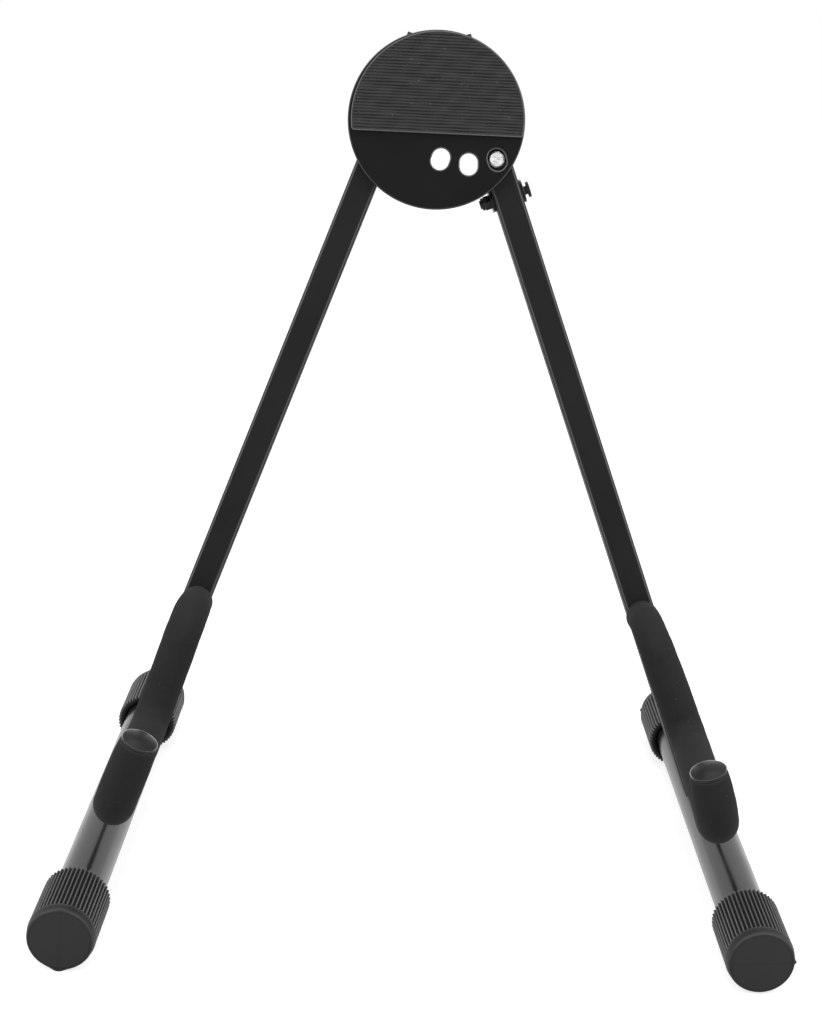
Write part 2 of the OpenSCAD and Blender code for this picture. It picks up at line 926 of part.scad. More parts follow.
// Rounds the two corners of an end of the lever, seen from behind; Y runs in from the end.
module end_corners()
    translate([0, 0, web_front - lever_tail])
        for (x = [-1, 1])
            translate([x * (tail_width / 2 - tail_round), tail_round, 0])
                difference() {
                    translate([x < 0 ? -tail_round - over : 0, -tail_round - over, 0])
                        cube([tail_round + over, tail_round + over, lever_tail + over]);
                    translate([0, 0, -over])
                        cylinder(r = tail_round, h = lever_tail + 3 * over);
                }

neck_step = 0.75;     // from the pin's shank in to its neck
pin_neck = pin_shank - 2 * neck_step;
pin_chamfer = 0.8;
rivet_height = 1.2;
rivet_flare = 1;      // how much wider the riveted end is at the back
collar_sheet = 1.5;
collar_back = 2.5;    // from the leg's front wall back to the collar
collar_front = leg_face - leg_wall - collar_back;
collar_outer = leg_width - 2 * leg_wall - 2 * pin_play;

// The lock pin, one turned piece: riveted neck, shank, collar for the spring and chamfered tip.
module lock_pin()
    color("#c9ccd0")
        in_leg()
            translate([0, -pin_reach, 0])
                rotate_extrude()
                    pin_profile();

// Half section of the pin, from its riveted end at the back to its tip at the front.
module pin_profile() {
    rivet_front = web_front - lever_sheet - fit_gap;
    shoulder = web_front + fit_gap;
    collar_rear = collar_front - collar_sheet;
    tip_front = -head_thickness - pin_gap;
    polygon([
        [0, rivet_front - rivet_height],
        [(pin_shank - rivet_flare) / 2, rivet_front - rivet_height],
        [(pin_shank + rivet_flare) / 2, rivet_front],
        [pin_neck / 2, rivet_front], [pin_neck / 2, shoulder],
        [pin_shank / 2, shoulder], [pin_shank / 2, collar_rear],
        [collar_outer / 2, collar_rear], [collar_outer / 2, collar_front],
        [pin_tip / 2, collar_front], [pin_tip / 2, tip_front - pin_chamfer],
        [pin_tip / 2 - pin_chamfer, tip_front], [0, tip_front]
    ]);
}

// Lock spring: one round wire wound by formula between the pin's collar and the leg's back wall
spring_play = 0.7;    // between the spring's inside and the pin's shank
spring_front = collar_front - collar_sheet - fit_gap;
spring_rear = leg_back + leg_wall + fit_gap;
spring_mean = pin_shank + 2 * spring_play + spring_wire;
rings_per_turn = 8;
wire_sides = 6;
spring_rise = (spring_front - spring_rear - spring_wire) / spring_turns;
spring_steps = spring_turns * rings_per_turn;

function spring_centre(i) = [
    spring_mean / 2 * cos(i * 360 / rings_per_turn),
    spring_mean / 2 * sin(i * 360 / rings_per_turn),
    spring_rear + spring_wire / 2 + spring_rise * i / rings_per_turn
];

function spring_point(i, side) =
    let (
        round = i * 360 / rings_per_turn,
        out = [cos(round), sin(round), 0],
        up = [0, 0, 1],
        angle = side * 360 / wire_sides
    )
    spring_centre(i) + spring_wire / 2 * (cos(angle) * out + sin(angle) * up);

spring_gap = spring_rise - spring_wire;
echo(str("least gap between turns of the lock spring: ", spring_gap));

module lock_spring()
    color("#b9bcc0")
        in_leg()
            translate([0, -pin_reach, 0])
                polyhedron(
                    points = [for (i = [0:spring_steps], k = [0:wire_sides - 1]) spring_point(i, k)],
                    faces = concat(
                        [for (i = [0:spring_steps - 1], k = [0:wire_sides - 1])
                            let (a = i * wire_sides + k, b = i * wire_sides + (k + 1) % wire_sides)
                            [a, b, b + wire_sides]],
                        [for (i = [0:spring_steps - 1], k = [0:wire_sides - 1])
                            let (a = i * wire_sides + k, b = i * wire_sides + (k + 1) % wire_sides)
                            [a, b + wire_sides, a + wire_sides]],
                        [for (k = [1:wire_sides - 2]) [0, k + 1, k]],
                        [for (k = [1:wire_sides - 2])
                            let (e = spring_steps * wire_sides)
                            [e, e + k, e + k + 1]]
                    )
                );

// The cross bolt runs through the cheeks and both side walls of the leg.
bolt_head_sheet = 1.5;
bolt_neck = 2;
bolt_rim = 2;         // how far the bolt's head stands out all round
lever_nut_height = 5.5;

module lever_bolt()
    color("#2b2c2e") {
        across_leg(-lever_outer / 2 - lever_nut_height - thread_out,
                lever_outer / 2 + bolt_neck + bolt_head_sheet / 2)
            circle(d = bolt_shank);
        across_leg(lever_outer / 2 + bolt_neck, lever_outer / 2 + bolt_neck + bolt_head_sheet)
            circle(d = bolt_shank + 2 * bolt_rim);
    }

module lever_nut()
    color("#2b2c2e")
        in_leg()
            translate([-lever_outer / 2 - turn_gap, -bolt_reach, leg_middle])
                rotate([0, -90, 0])
                    lock_nut(bolt_shank, lever_nut_height);

head_plate();
head_pad();
pivot_bolt();
pivot_bush();
pivot_washers();
pivot_nut();
left_leg_screws();
left_leg_spacers();
left_leg_nuts();
left_leg();
left_leg_plug();
left_foot_tube();
left_front_cap();
left_rear_cap();
left_arm_rod();
left_arm_sleeve();
left_arm_plug();
left_arm_screw();
right_leg();
right_leg_plug();
right_foot_tube();
right_front_cap();
right_rear_cap();
right_arm_rod();
right_arm_sleeve();
right_arm_plug();
right_arm_screw();
lever_bolt();
lever_nut();
lock_spring();
lock_lever();
lock_pin();
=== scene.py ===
import math

import bmesh
import bpy
from mathutils import Matrix, Vector


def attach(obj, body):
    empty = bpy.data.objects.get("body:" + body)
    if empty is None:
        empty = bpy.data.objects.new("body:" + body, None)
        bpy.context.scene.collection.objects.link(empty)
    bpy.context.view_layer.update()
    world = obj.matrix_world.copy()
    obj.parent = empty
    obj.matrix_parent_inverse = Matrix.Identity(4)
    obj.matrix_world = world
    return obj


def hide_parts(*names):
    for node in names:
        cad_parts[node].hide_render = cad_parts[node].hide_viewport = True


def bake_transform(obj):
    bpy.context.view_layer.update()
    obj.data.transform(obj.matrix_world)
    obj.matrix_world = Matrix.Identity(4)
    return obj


# Looks of the folding cello stand. Lengths are in millimetres until a mesh is made.

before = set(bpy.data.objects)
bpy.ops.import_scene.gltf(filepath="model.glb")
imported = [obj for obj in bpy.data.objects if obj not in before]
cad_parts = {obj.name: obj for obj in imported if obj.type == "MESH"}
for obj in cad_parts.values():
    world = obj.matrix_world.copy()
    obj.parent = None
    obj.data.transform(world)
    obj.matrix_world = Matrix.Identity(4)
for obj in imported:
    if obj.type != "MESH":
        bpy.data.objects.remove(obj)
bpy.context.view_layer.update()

MM = 0.001

# Places on the stand, as its solids have them.
LEAN = math.radians(11.6)
SPLAY = math.radians(20.2)
TOE_OUT = math.radians(2.5)
UP = Vector((0, 0, 1))
SIDE = Vector((1, 0, 0))
UP_PLATE = Vector((0, math.sin(LEAN), math.cos(LEAN)))
OUT_OF_PLATE = Vector((0, -math.cos(LEAN), math.sin(LEAN)))
HEAD_HEIGHT = 404
# The right leg's pivot, across and up the plate, and the leg's face and middle, out of the plate.
PIVOT = (18, 25)
LEG_FACE, LEG_DEPTH = -4.5, 22
LEG_MIDDLE = LEG_FACE - LEG_DEPTH / 2
# How far the lock pin is down from the pivot, and where its end starts, out of the plate; the pin
# behind it gets a painted shade.
PIN_REACH, PIN_SHADE_STOPS_AT = 48.5, -7.0
# A foot tube's axis, its width, and how far its capped ends reach from the leg's joint.
FOOT_AXIS_HEIGHT, FOOT_TUBE, FOOT_REACH = 18, 26, {"front": 188, "rear": 136}


def down_at(height, forward):
    """How far down the leg a point at this forward distance is at a given height."""
    top = HEAD_HEIGHT + PIVOT[1] * math.cos(LEAN) + forward * math.sin(LEAN)
    return (top - height) / (math.cos(SPLAY) * math.cos(LEAN))


# The feet reach as far to the front as to the back, and the head stands over their joints.
LEG_RUN = down_at(FOOT_AXIS_HEIGHT, LEG_MIDDLE)
LEG_FALL = PIVOT[1] - LEG_RUN * math.cos(SPLAY)
JOINT_BACK = (FOOT_REACH["front"] - FOOT_REACH["rear"]) / 2 * math.cos(TOE_OUT)
HEAD_BACK = JOINT_BACK - LEG_FALL * math.sin(LEAN) + LEG_MIDDLE * math.cos(LEAN)
HEAD_CENTRE = Vector((0, HEAD_BACK, HEAD_HEIGHT))


def leg_point(out, down, forward):
    """A point of the right leg: outwards from its middle line, down from its pivot, forward."""
    across = PIVOT[0] + down * math.sin(SPLAY) + out * math.cos(SPLAY)
    up = PIVOT[1] - down * math.cos(SPLAY) + out * math.sin(SPLAY)
    return HEAD_CENTRE + across * SIDE + up * UP_PLATE + forward * OUT_OF_PLATE


FOOT_DIR = Vector((math.sin(TOE_OUT), -math.cos(TOE_OUT), 0))
FOOT_JOINT = leg_point(0, LEG_RUN, LEG_MIDDLE)


def mirrored(point, side):
    """A point of the right side, or its mirror image on the left side."""
    return Vector((-point.x, point.y, point.z)) if side == "left" else Vector(point)


# Making meshes.
def turn_faces_out(mesh):
    bm = bmesh.new()
    bm.from_mesh(mesh)
    bmesh.ops.recalc_face_normals(bm, faces=bm.faces)
    bm.to_mesh(mesh)
    bm.free()


def make_piece(name, points, faces, material, body, stands_for, sharp, painted_light=None):
    """A piece from points in millimetres, smooth but for edges sharper than an angle in degrees.

    painted_light gives each point from 0, painted shade, to 1, painted highlight, for the material
    to read, and more than 1 counts as 1."""
    mesh = bpy.data.meshes.new(name)
    mesh.from_pydata([tuple(p * MM) for p in points], [], faces)
    if painted_light:
        mesh.attributes.new("painted_light", "FLOAT", "POINT").data.foreach_set("value", painted_light)
    mesh.validate()
    mesh.update()
    piece = bpy.data.objects.new(name, mesh)
    bpy.context.scene.collection.objects.link(piece)
    turn_faces_out(mesh)
    mesh.shade_smooth()
    mesh.set_sharp_from_angle(angle=math.radians(sharp))
    mesh.materials.append(material)
    if body:
        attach(piece, body)
    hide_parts(stands_for)
    return piece


def turns(steps):
    """The angles of a full turn in equal steps."""
    return [2 * math.pi * k / steps for k in range(steps)]


def bridge(rings, close_ends=True, loop=False):
    """Faces between rings of equal size; the ends closed, or the last ring joined to the first."""
    points, faces = [], []
    size = len(rings[0])
    for ring in rings:
        points.extend(ring)
    count = len(rings)
    for i in range(count if loop else count - 1):
        j = (i + 1) % count
        for k in range(size):
            m = (k + 1) % size
            faces.append((i * size + k, i * size + m, j * size + m, j * size + k))
    if close_ends and not loop:
        faces.append(tuple(range(size - 1, -1, -1)))
        faces.append(tuple((count - 1) * size + k for k in range(size)))
    return points, faces


def revolve(profile, place, steps):
    """Points and faces of a (radius, height) profile turned full circle; radius 0 is one point."""
    points, faces, starts = [], [], []
    for radius, height in profile:
        starts.append((len(points), radius > 0))
        for turn in turns(steps) if radius > 0 else (0,):
            points.append(place(radius * math.cos(turn), radius * math.sin(turn), height))
    for (a, ring_a), (b, ring_b) in zip(starts, starts[1:]):
        for k in range(steps):
            m = (k + 1) % steps
            if ring_a and ring_b:
                faces.append((a + k, a + m, b + m, b + k))
            elif ring_a:
                faces.append((a + k, a + m, b))
            else:
                faces.append((a, b + m, b + k))
    return points, faces


def square_to(way):
    """Two directions square to a way and to each other."""
    one = UP.cross(way).normalized()
    return one, way.cross(one).normalized()


def clamped(value):
    return min(max(value, 0), 1)


def table_at(table, share):
    """The value of a table of (share, value) rows at a share."""
    for (a, low), (b, high) in zip(table, table[1:]):
        if a <= share <= b:
            return low + (high - low) * (share - a) / (b - a)
    return table[-1][1]


# Waves along x and y, per millimetre, and how far the seed moves each.
DRIFT_WAVES = ((0.11, 0.23, 1), (0.29, -0.17, 2.1), (0.07, 0.41, 3.7))


def drift(x, y, x_speed, y_speed, seed):
    """A smooth wandering value from -1 to 1."""
    x, y = x * x_speed, y * y_speed
    return sum(math.sin(x * a + y * b + c * seed) for a, b, c in DRIFT_WAVES) / len(DRIFT_WAVES)


# Shader nodes, and the groups that the finishes share.

# Cosines of a normal's turn: hardly turned, and turned enough to count as an edge.
HARDLY_TURNED, EDGE_TURNED = 0.99, 0.93
# Cosines between which a rounded corner leaves the face across its axis.
CORNER_STARTS, CORNER_FULL = 0.6, 0.8
BEVEL_SAMPLES = 6
FINE_DETAIL, COARSE_DETAIL = 3, 2
# The part of a noise that is spread over the whole drift of a tone.
NOISE_LOW, NOISE_HIGH = 0.3, 0.7
TURNING_MARK_HEIGHT = 0.25
RELIEF_HEIGHT = 0.1


def new_group(name, inputs, outputs):
    """An empty node group with named sockets, what it is given and what it puts out."""
    group = bpy.data.node_groups.new(name, "ShaderNodeTree")
    for label, kind, value in inputs:
        group.interface.new_socket(name=label, in_out="INPUT",
                                   socket_type="NodeSocket" + kind).default_value = value
    for label, kind in outputs:
        group.interface.new_socket(name=label, in_out="OUTPUT", socket_type="NodeSocket" + kind)
    return (group, group.nodes.new("NodeGroupInput").outputs,
            group.nodes.new("NodeGroupOutput").inputs)


def emptied_tree(owner):
    """The node tree of a material or a world, with nothing in it."""
    owner.use_nodes = True
    owner.node_tree.nodes.clear()
    return owner.node_tree


def add(tree, kind, inputs=None, **settings):
    """A new node with its settings; each of its inputs takes a value or another node's output."""
    node = tree.nodes.new("ShaderNode" + kind)
    for key, value in settings.items():
        setattr(node, key, value)
    for key, value in (inputs or {}).items():
        if isinstance(value, bpy.types.NodeSocket):
            tree.links.new(value, node.inputs[key])
        else:
            node.inputs[key].default_value = value
    return node


def make_grain():
    """Fine height and slow drift, in sizes given in millimetres."""
    group, given, out = new_group(
        "Surface grain",
        (("Fine size", "Float", 0.4), ("Coarse size", "Float", 20),
         ("Stretch", "Vector", (1, 1, 1))),
        (("Height", "Float"), ("Drift", "Float")))
    place = add(group, "TexCoord")
    stretched = add(group, "VectorMath", {0: place.outputs["Object"], 1: given["Stretch"]},
                    operation="MULTIPLY")
    for size, result, detail in (("Fine size", "Height", FINE_DETAIL),
                                 ("Coarse size", "Drift", COARSE_DETAIL)):
        scale = add(group, "Math", {0: 1 / MM, 1: given[size]}, operation="DIVIDE")
        noise = add(group, "TexNoise", {"Vector": stretched.outputs["Vector"],
                                        "Scale": scale.outputs["Value"], "Detail": detail})
        group.links.new(noise.outputs["Fac"], out[result])
    return group


def make_tone():
    """A colour that drifts between two values, and a roughness that drifts with it."""
    group, given, out = new_group(
        "Tone drift",
        (("Drift", "Float", 0.5), ("Dark", "Color", (0.01, 0.01, 0.01, 1)),
         ("Light", "Color", (0.02, 0.02, 0.02, 1)), ("Smoothest", "Float", 0.3),
         ("Roughest", "Float", 0.5)),
        (("Color", "Color"), ("Roughness", "Float")))
    spread = add(group, "MapRange",
                 {"Value": given["Drift"], "From Min": NOISE_LOW, "From Max": NOISE_HIGH})
    mix = add(group, "Mix", {"Factor": spread.outputs["Result"], "A": given["Dark"],
                             "B": given["Light"]}, data_type="RGBA")
    rough = add(group, "MapRange", {"Value": spread.outputs["Result"],
                                    "To Min": given["Smoothest"], "To Max": given["Roughest"]})
    group.links.new(mix.outputs["Result"], out["Color"])
    group.links.new(rough.outputs["Result"], out["Roughness"])
    return group


def make_edge():
    """A normal rounded over the edges, to a width in millimetres, and a mask of where it turns,
    which the finishes use for a painted highlight.
    """
    group, given, out = new_group(
        "Painted edge highlight", (("Width", "Float", 0.5),), (("Mask", "Float"), ("Normal", "Vector")))
    width = add(group, "Math", {0: given["Width"], 1: MM}, operation="MULTIPLY")
    bevel = add(group, "Bevel", {"Radius": width.outputs["Value"]}, samples=BEVEL_SAMPLES)
    surface = add(group, "NewGeometry")
    along = add(group, "VectorMath", {0: bevel.outputs["Normal"], 1: surface.outputs["Normal"]},
                operation="DOT_PRODUCT")
    turned = add(group, "MapRange", {"Value": along.outputs["Value"],
                                     "From Min": HARDLY_TURNED, "From Max": EDGE_TURNED})
    group.links.new(turned.outputs["Result"], out["Mask"])
    group.links.new(bevel.outputs["Normal"], out["Normal"])
    return group


def make_corner():
    """A mask of the rounded corners that lie between the faces along and across an axis, which the
    finishes use for a painted highlight.
    """
    group, given, out = new_group(
        "Painted corner highlight", (("Axis", "Vector", (0, 0, 1)),), (("Mask", "Float"),))
    surface = add(group, "TexCoord")
    along = add(group, "VectorMath", {0: surface.outputs["Normal"], 1: given["Axis"]},
                operation="DOT_PRODUCT")
    size = add(group, "Math", {0: along.outputs["Value"]}, operation="ABSOLUTE")
    rise = add(group, "MapRange", {"Value": size.outputs["Value"],
                                   "From Min": CORNER_STARTS, "From Max": CORNER_FULL})
    fall = add(group, "MapRange", {"Value": size.outputs["Value"],
                                   "From Min": HARDLY_TURNED, "From Max": EDGE_TURNED})
    both = add(group, "Math", {0: rise.outputs["Result"], 1: fall.outputs["Result"]},
               operation="MULTIPLY")
    group.links.new(both.outputs["Value"], out["Mask"])
    return group


def make_specks():
    """Sparse specks of dust: how far apart and how wide, in millimetres."""
    group, given, out = new_group(
        "Dust specks", (("Spacing", "Float", 2), ("Size", "Float", 0.2)), (("Mask", "Float"),))
    place = add(group, "TexCoord")
    scale = add(group, "Math", {0: 1 / MM, 1: given["Spacing"]}, operation="DIVIDE")
    cells = add(group, "TexVoronoi", {"Vector": place.outputs["Object"],
                                      "Scale": scale.outputs["Value"]})
    reach = add(group, "Math", {0: cells.outputs["Distance"], 1: given["Spacing"]},
                operation="MULTIPLY")
    speck = add(group, "MapRange", {"Value": reach.outputs["Value"], "From Max": given["Size"],
                                    "To Min": 1, "To Max": 0})
    group.links.new(speck.outputs["Result"], out["Mask"])
    return group


def make_rings():
    """Turning marks round an axis, and a mask of the part in front of a plane across it."""
    group, given, out = new_group(
        "Turning marks",
        (("Centre", "Vector", (0, 0, 0)), ("Axis", "Vector", (0, 0, 1)), ("Pitch", "Float", 0.3),
         ("Front from", "Float", -7)),
        (("Height", "Float"), ("Front", "Float")))
    place = add(group, "TexCoord")
    reach = add(group, "VectorMath", {0: place.outputs["Object"], 1: given["Centre"]},
                operation="SUBTRACT")
    along = add(group, "VectorMath", {0: reach.outputs["Vector"], 1: given["Axis"]},
                operation="DOT_PRODUCT")
    across = add(group, "VectorMath", {0: reach.outputs["Vector"], 1: given["Axis"]},
                 operation="CROSS_PRODUCT")
    radius = add(group, "VectorMath", {0: across.outputs["Vector"]}, operation="LENGTH")
    full_turns = add(group, "Math", {0: radius.outputs["Value"], 1: 2 * math.pi / MM},
                     operation="MULTIPLY")
    phase = add(group, "Math", {0: full_turns.outputs["Value"], 1: given["Pitch"]},
                operation="DIVIDE")
    wave = add(group, "Math", {0: phase.outputs["Value"]}, operation="SINE")
    shallow = add(group, "Math", {0: wave.outputs["Value"], 1: TURNING_MARK_HEIGHT},
                  operation="MULTIPLY")
    depth = add(group, "Math", {0: along.outputs["Value"], 1: 1 / MM}, operation="MULTIPLY")
    ahead = add(group, "Math", {0: depth.outputs["Value"], 1: given["Front from"]},
                operation="GREATER_THAN")
    group.links.new(shallow.outputs["Value"], out["Height"])
    group.links.new(ahead.outputs["Value"], out["Front"])
    return group


GRAIN, TONE, EDGE, CORNER = make_grain(), make_tone(), make_edge(), make_corner()
SPECKS, RINGS = make_specks(), make_rings()


# Finishes.
def grey(value):
    """A grey with the slightly cool cast of black paint and rubber."""
    return (value, value, value * 1.02, 1)


def make_finish(name, dark, light, rough, fine, coarse, bump, ior=1.5, metallic=0.0,
                stretch=(1, 1, 1), edge=None, corner=None, dust=None, painted_light_colour=None, turned=None):
    """A finish whose colour and roughness drift slowly and whose surface has a fine grain.

    fine and coarse are the sizes of the grain and of the drift, and bump is the grain's
    strength. edge is (width, colour, share) of a painted highlight on sharp edges, corner (axis,
    colour, share) of a painted highlight on rounded corners, dust (spacing, size, colour, share),
    painted_light_colour the colour of the painted highlight that the mesh's points carry, less of
    it standing for painted shade, and turned (centre, axis, pitch, front from, painted shade
    behind)."""
    material = bpy.data.materials.new(name)
    tree = emptied_tree(material)
    grain = add(tree, "Group", {"Fine size": fine, "Coarse size": coarse, "Stretch": stretch},
                node_tree=GRAIN)
    tone = add(tree, "Group", {"Drift": grain.outputs["Drift"], "Dark": dark, "Light": light,
                               "Smoothest": rough[0], "Roughest": rough[1]}, node_tree=TONE)
    colour, height = tone.outputs["Color"], grain.outputs["Height"]
    relief = add(tree, "Bump", {"Strength": bump, "Distance": RELIEF_HEIGHT * MM})

    def blend_in(mask, other, share=1.0):
        """Mixes another colour in where the mask says, up to a share."""
        nonlocal colour
        amount = add(tree, "Math", {0: mask, 1: share}, operation="MULTIPLY")
        mix = add(tree, "Mix", {"Factor": amount.outputs["Value"], "A": colour, "B": other},
                  data_type="RGBA")
        colour = mix.outputs["Result"]

    # Painted light that the mesh's points carry: a painted highlight where they carry more, painted
    # shade where they carry less.
    if painted_light_colour:
        light_share = add(tree, "Attribute", attribute_name="painted_light")
        blend_in(light_share.outputs["Fac"], painted_light_colour)
    if dust:
        spacing, size, dust_colour, share = dust
        specks = add(tree, "Group", {"Spacing": spacing, "Size": size}, node_tree=SPECKS)
        blend_in(specks.outputs["Mask"], dust_colour, share)
    # A painted highlight along sharp edges.
    if edge:
        width, edge_colour, share = edge
        rounded = add(tree, "Group", {"Width": width}, node_tree=EDGE)
        blend_in(rounded.outputs["Mask"], edge_colour, share)
        tree.links.new(rounded.outputs["Normal"], relief.inputs["Normal"])
    # A painted highlight along rounded corners.
    if corner:
        axis, corner_colour, share = corner
        band = add(tree, "Group", {"Axis": axis}, node_tree=CORNER)
        blend_in(band.outputs["Mask"], corner_colour, share)
    # The part behind the front plane gets a painted shade, where it sits inside a hole.
    if turned:
        centre, axis, pitch, front_from, painted_shade_behind = turned
        rings = add(tree, "Group", {"Centre": centre, "Axis": axis, "Pitch": pitch,
                                    "Front from": front_from}, node_tree=RINGS)
        behind = add(tree, "Math", {0: 1.0, 1: rings.outputs["Front"]}, operation="SUBTRACT")
        blend_in(behind.outputs["Value"], painted_shade_behind)
        both = add(tree, "Math", {0: rings.outputs["Height"], 1: height}, operation="ADD")
        height = both.outputs["Value"]
    tree.links.new(height, relief.inputs["Height"])
    skin = add(tree, "BsdfPrincipled",
               {"Base Color": colour, "Roughness": tone.outputs["Roughness"],
                "Normal": relief.outputs["Normal"], "Metallic": metallic, "IOR": ior})
    add(tree, "OutputMaterial", {"Surface": skin.outputs["BSDF"]})
    return material


# The colour of the painted highlight on edges and rounded corners.
PAINTED_EDGE_HIGHLIGHT = grey(0.28)
# The plate has a painted highlight on its sharp edges and rounded corners, the legs on their
# rounded corners.
PLATE_COAT = make_finish(
    "Satin black plate coat", grey(0.0038), grey(0.006), rough=(0.40, 0.50), fine=0.5, coarse=30,
    bump=0.2, ior=1.2, edge=(0.8, grey(0.22), 0.9), corner=(OUT_OF_PLATE, PAINTED_EDGE_HIGHLIGHT, 0.3))
LEG_COAT = make_finish(
    "Satin black leg coat", grey(0.009), grey(0.012), rough=(0.48, 0.58), fine=0.6, coarse=40,
    bump=0.2, ior=1.22, corner=(OUT_OF_PLATE, PAINTED_EDGE_HIGHLIGHT, 0.28))
FOOT_COAT = make_finish(
    "Gloss black foot coat", grey(0.012), grey(0.016), rough=(0.2, 0.27), fine=1.2, coarse=30,
    bump=0.1)
# The lever's edge colour is a painted highlight.
LEVER_COAT = make_finish(
    "Black lever coat", grey(0.006), grey(0.010), rough=(0.3, 0.4), fine=0.5, coarse=15,
    bump=0.2, ior=1.3, edge=(0.5, PAINTED_EDGE_HIGHLIGHT, 0.4))
# The light colour that the pad's points carry is a painted highlight round its rim and on its
# crests, with painted shade in the grooves; the specks are dust.
PAD_RUBBER = make_finish(
    "Ribbed pad rubber", grey(0.0165), grey(0.0225), rough=(0.6, 0.75), fine=0.35, coarse=4,
    bump=0.5, ior=1.3, stretch=(0.3, 1, 1), dust=(4.5, 0.38, grey(0.3), 0.8), painted_light_colour=grey(0.17))
# The light colour that the caps' points carry is a painted highlight on crests, edges and the
# mouth, with painted shade in the grooves; the specks are dust.
CAP_RUBBER = make_finish(
    "Foot cap rubber", grey(0.003), grey(0.005), rough=(0.45, 0.55), fine=0.3, coarse=14,
    bump=0.2, ior=1.22, dust=(7, 0.3, grey(0.12), 0.6), painted_light_colour=grey(0.14))
# The light colour that the sleeves' points carry is a painted highlight on their ends; the specks
# are dust.
SLEEVE_FOAM = make_finish(
    "Arm sleeve foam", grey(0.019), grey(0.023), rough=(0.85, 0.95), fine=0.45, coarse=12,
    bump=0.7, ior=1.22, dust=(4, 0.34, grey(0.14), 0.8), painted_light_colour=grey(0.10))
# The plug's edge colour and the colour its points carry are painted highlights on its rim.
PLUG_GLOSS = make_finish(
    "Gloss black plug", grey(0.008), grey(0.011), rough=(0.3, 0.38), fine=0.8, coarse=6,
    bump=0.1, ior=1.25, edge=(0.8, grey(0.8), 0.12), painted_light_colour=grey(0.95))
# The end plug's edge colour is a painted highlight.
PLUG_MATT = make_finish(
    "Black end plug", grey(0.012), grey(0.016), rough=(0.4, 0.5), fine=0.5, coarse=8,
    bump=0.2, ior=1.35, edge=(0.6, PAINTED_EDGE_HIGHLIGHT, 0.4))
NYLON = make_finish(
    "Natural nylon washer", grey(0.62), grey(0.70), rough=(0.4, 0.5), fine=0.4, coarse=6,
    bump=0.1)
# The edge colours of the plated and the drawn steel are painted highlights.
ZINC = make_finish(
    "Zinc plated steel", grey(0.42), grey(0.52), rough=(0.28, 0.4), fine=0.3, coarse=4,
    bump=0.15, metallic=1.0, edge=(0.3, grey(0.7), 0.5))
ROD_STEEL = make_finish(
    "Drawn rod steel", grey(0.36), grey(0.44), rough=(0.3, 0.42), fine=0.3, coarse=6,
    bump=0.15, metallic=1.0, edge=(0.4, grey(0.6), 0.4))
SPRING_STEEL = make_finish(
    "Bright spring wire", grey(0.5), grey(0.6), rough=(0.2, 0.3), fine=0.3, coarse=4,
    bump=0.1, metallic=1.0)
# The pin's wide, stretched tone drift paints the streaked reflection of its turned end, and the
# near black behind its end is painted shade.
PIN_STEEL = make_finish(
    "Turned pin steel", grey(0.2), grey(0.8), rough=(0.24, 0.4), fine=0.5, coarse=1.5,
    bump=0.12, metallic=1.0, stretch=(0.35, 1, 1.4),
    turned=(leg_point(0, PIN_REACH, 0) * MM, OUT_OF_PLATE, 0.7, PIN_SHADE_STOPS_AT, grey(0.012)))

# The solids that keep their shape, by finish.
KEPT_NODES = (
    (PLATE_COAT, ("head_plate",)),
    (LEG_COAT, ("left_leg", "right_leg")),
    (FOOT_COAT, ("left_foot_tube", "right_foot_tube")),
    (LEVER_COAT, ("lock_lever", "lever_bolt", "lever_nut")),
    (PLUG_MATT, ("left_leg_plug", "right_leg_plug")),
    (NYLON, ("pivot_washers",)),
    (ZINC, ("pivot_bolt", "pivot_bush", "pivot_nut", "left_leg_screws", "left_leg_spacers",
            "left_leg_nuts", "left_arm_screw", "right_arm_screw")),
    (ROD_STEEL, ("left_arm_rod", "right_arm_rod")),
    (PIN_STEEL, ("lock_pin",)),
)
for node_finish, node_names in KEPT_NODES:
    for node_name in node_names:
        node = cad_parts[node_name]
        node.data.materials.clear()
        node.data.materials.append(node_finish)


# The head pad.
PAD_RADIUS, PAD_DROP, PAD_BASE, PAD_CORNER = 48.8, 7.95, 1.8, 1.6
PAD_TURN, PAD_ASIDE, PAD_RISE = math.radians(-0.6), 0.7, 0.35
# The plain rim, the rounding of the edge, and the gap behind the back face.
PAD_RIM, PAD_SOFT, PAD_BACK = 0.8, 0.35, 0.02
RIB_HEIGHT, RIB_PITCH = 0.7, 1.7
# Depth of a groove over half a rib pitch, from the middle of the groove to the crest.
GROOVE = ((0, 1), (0.1, 0.97), (0.17, 0.66), (0.23, 0.33), (0.3, 0.08), (0.36, 0), (0.5, 0))
# The grooves start over this length inside the rim, and never fade below this share.
GROOVE_START, GROOVE_LEAST = 0.3, 0.25
GROOVE_MEAN, GROOVE_SPREAD = 0.66, 0.34
# How far a rib wanders, and how far inside the outline it does so in full.
RIB_WANDER, RIB_WANDER_FROM = 0.14, 4
# The painted highlight round the rim: its width, fade and strength; and the painted highlight on
# the crests, less in the grooves as painted shade.
PAD_RIM_HIGHLIGHT_WIDTH, PAD_RIM_HIGHLIGHT_FADE, PAD_RIM_HIGHLIGHT = 0.6, 0.3, 0.8
CREST_HIGHLIGHT, CREST_HIGHLIGHT_SPREAD = 0.10, 0.03
# Speeds along and across the ribs, and seeds, of what drifts over the pad.
WANDER_DRIFT, GROOVE_DRIFT, HIGHLIGHT_DRIFT = (0.8, 7.3, 1.3), (1.6, 4.1, 4.4), (1, 3, 2.2)
# Mesh lines, as distances from the outline, and how many columns lie between them.
EDGE_LINES = (0, 0.04, 0.12, 0.24, 0.4, 0.7, PAD_RIM, 1.1)
TOP_LINES = (1.2, 0.9, 0.6, 0.4, 0.24, 0.12, 0.04, 0)
PAD_COLUMNS, LEAST_HALF = 60, 0.05
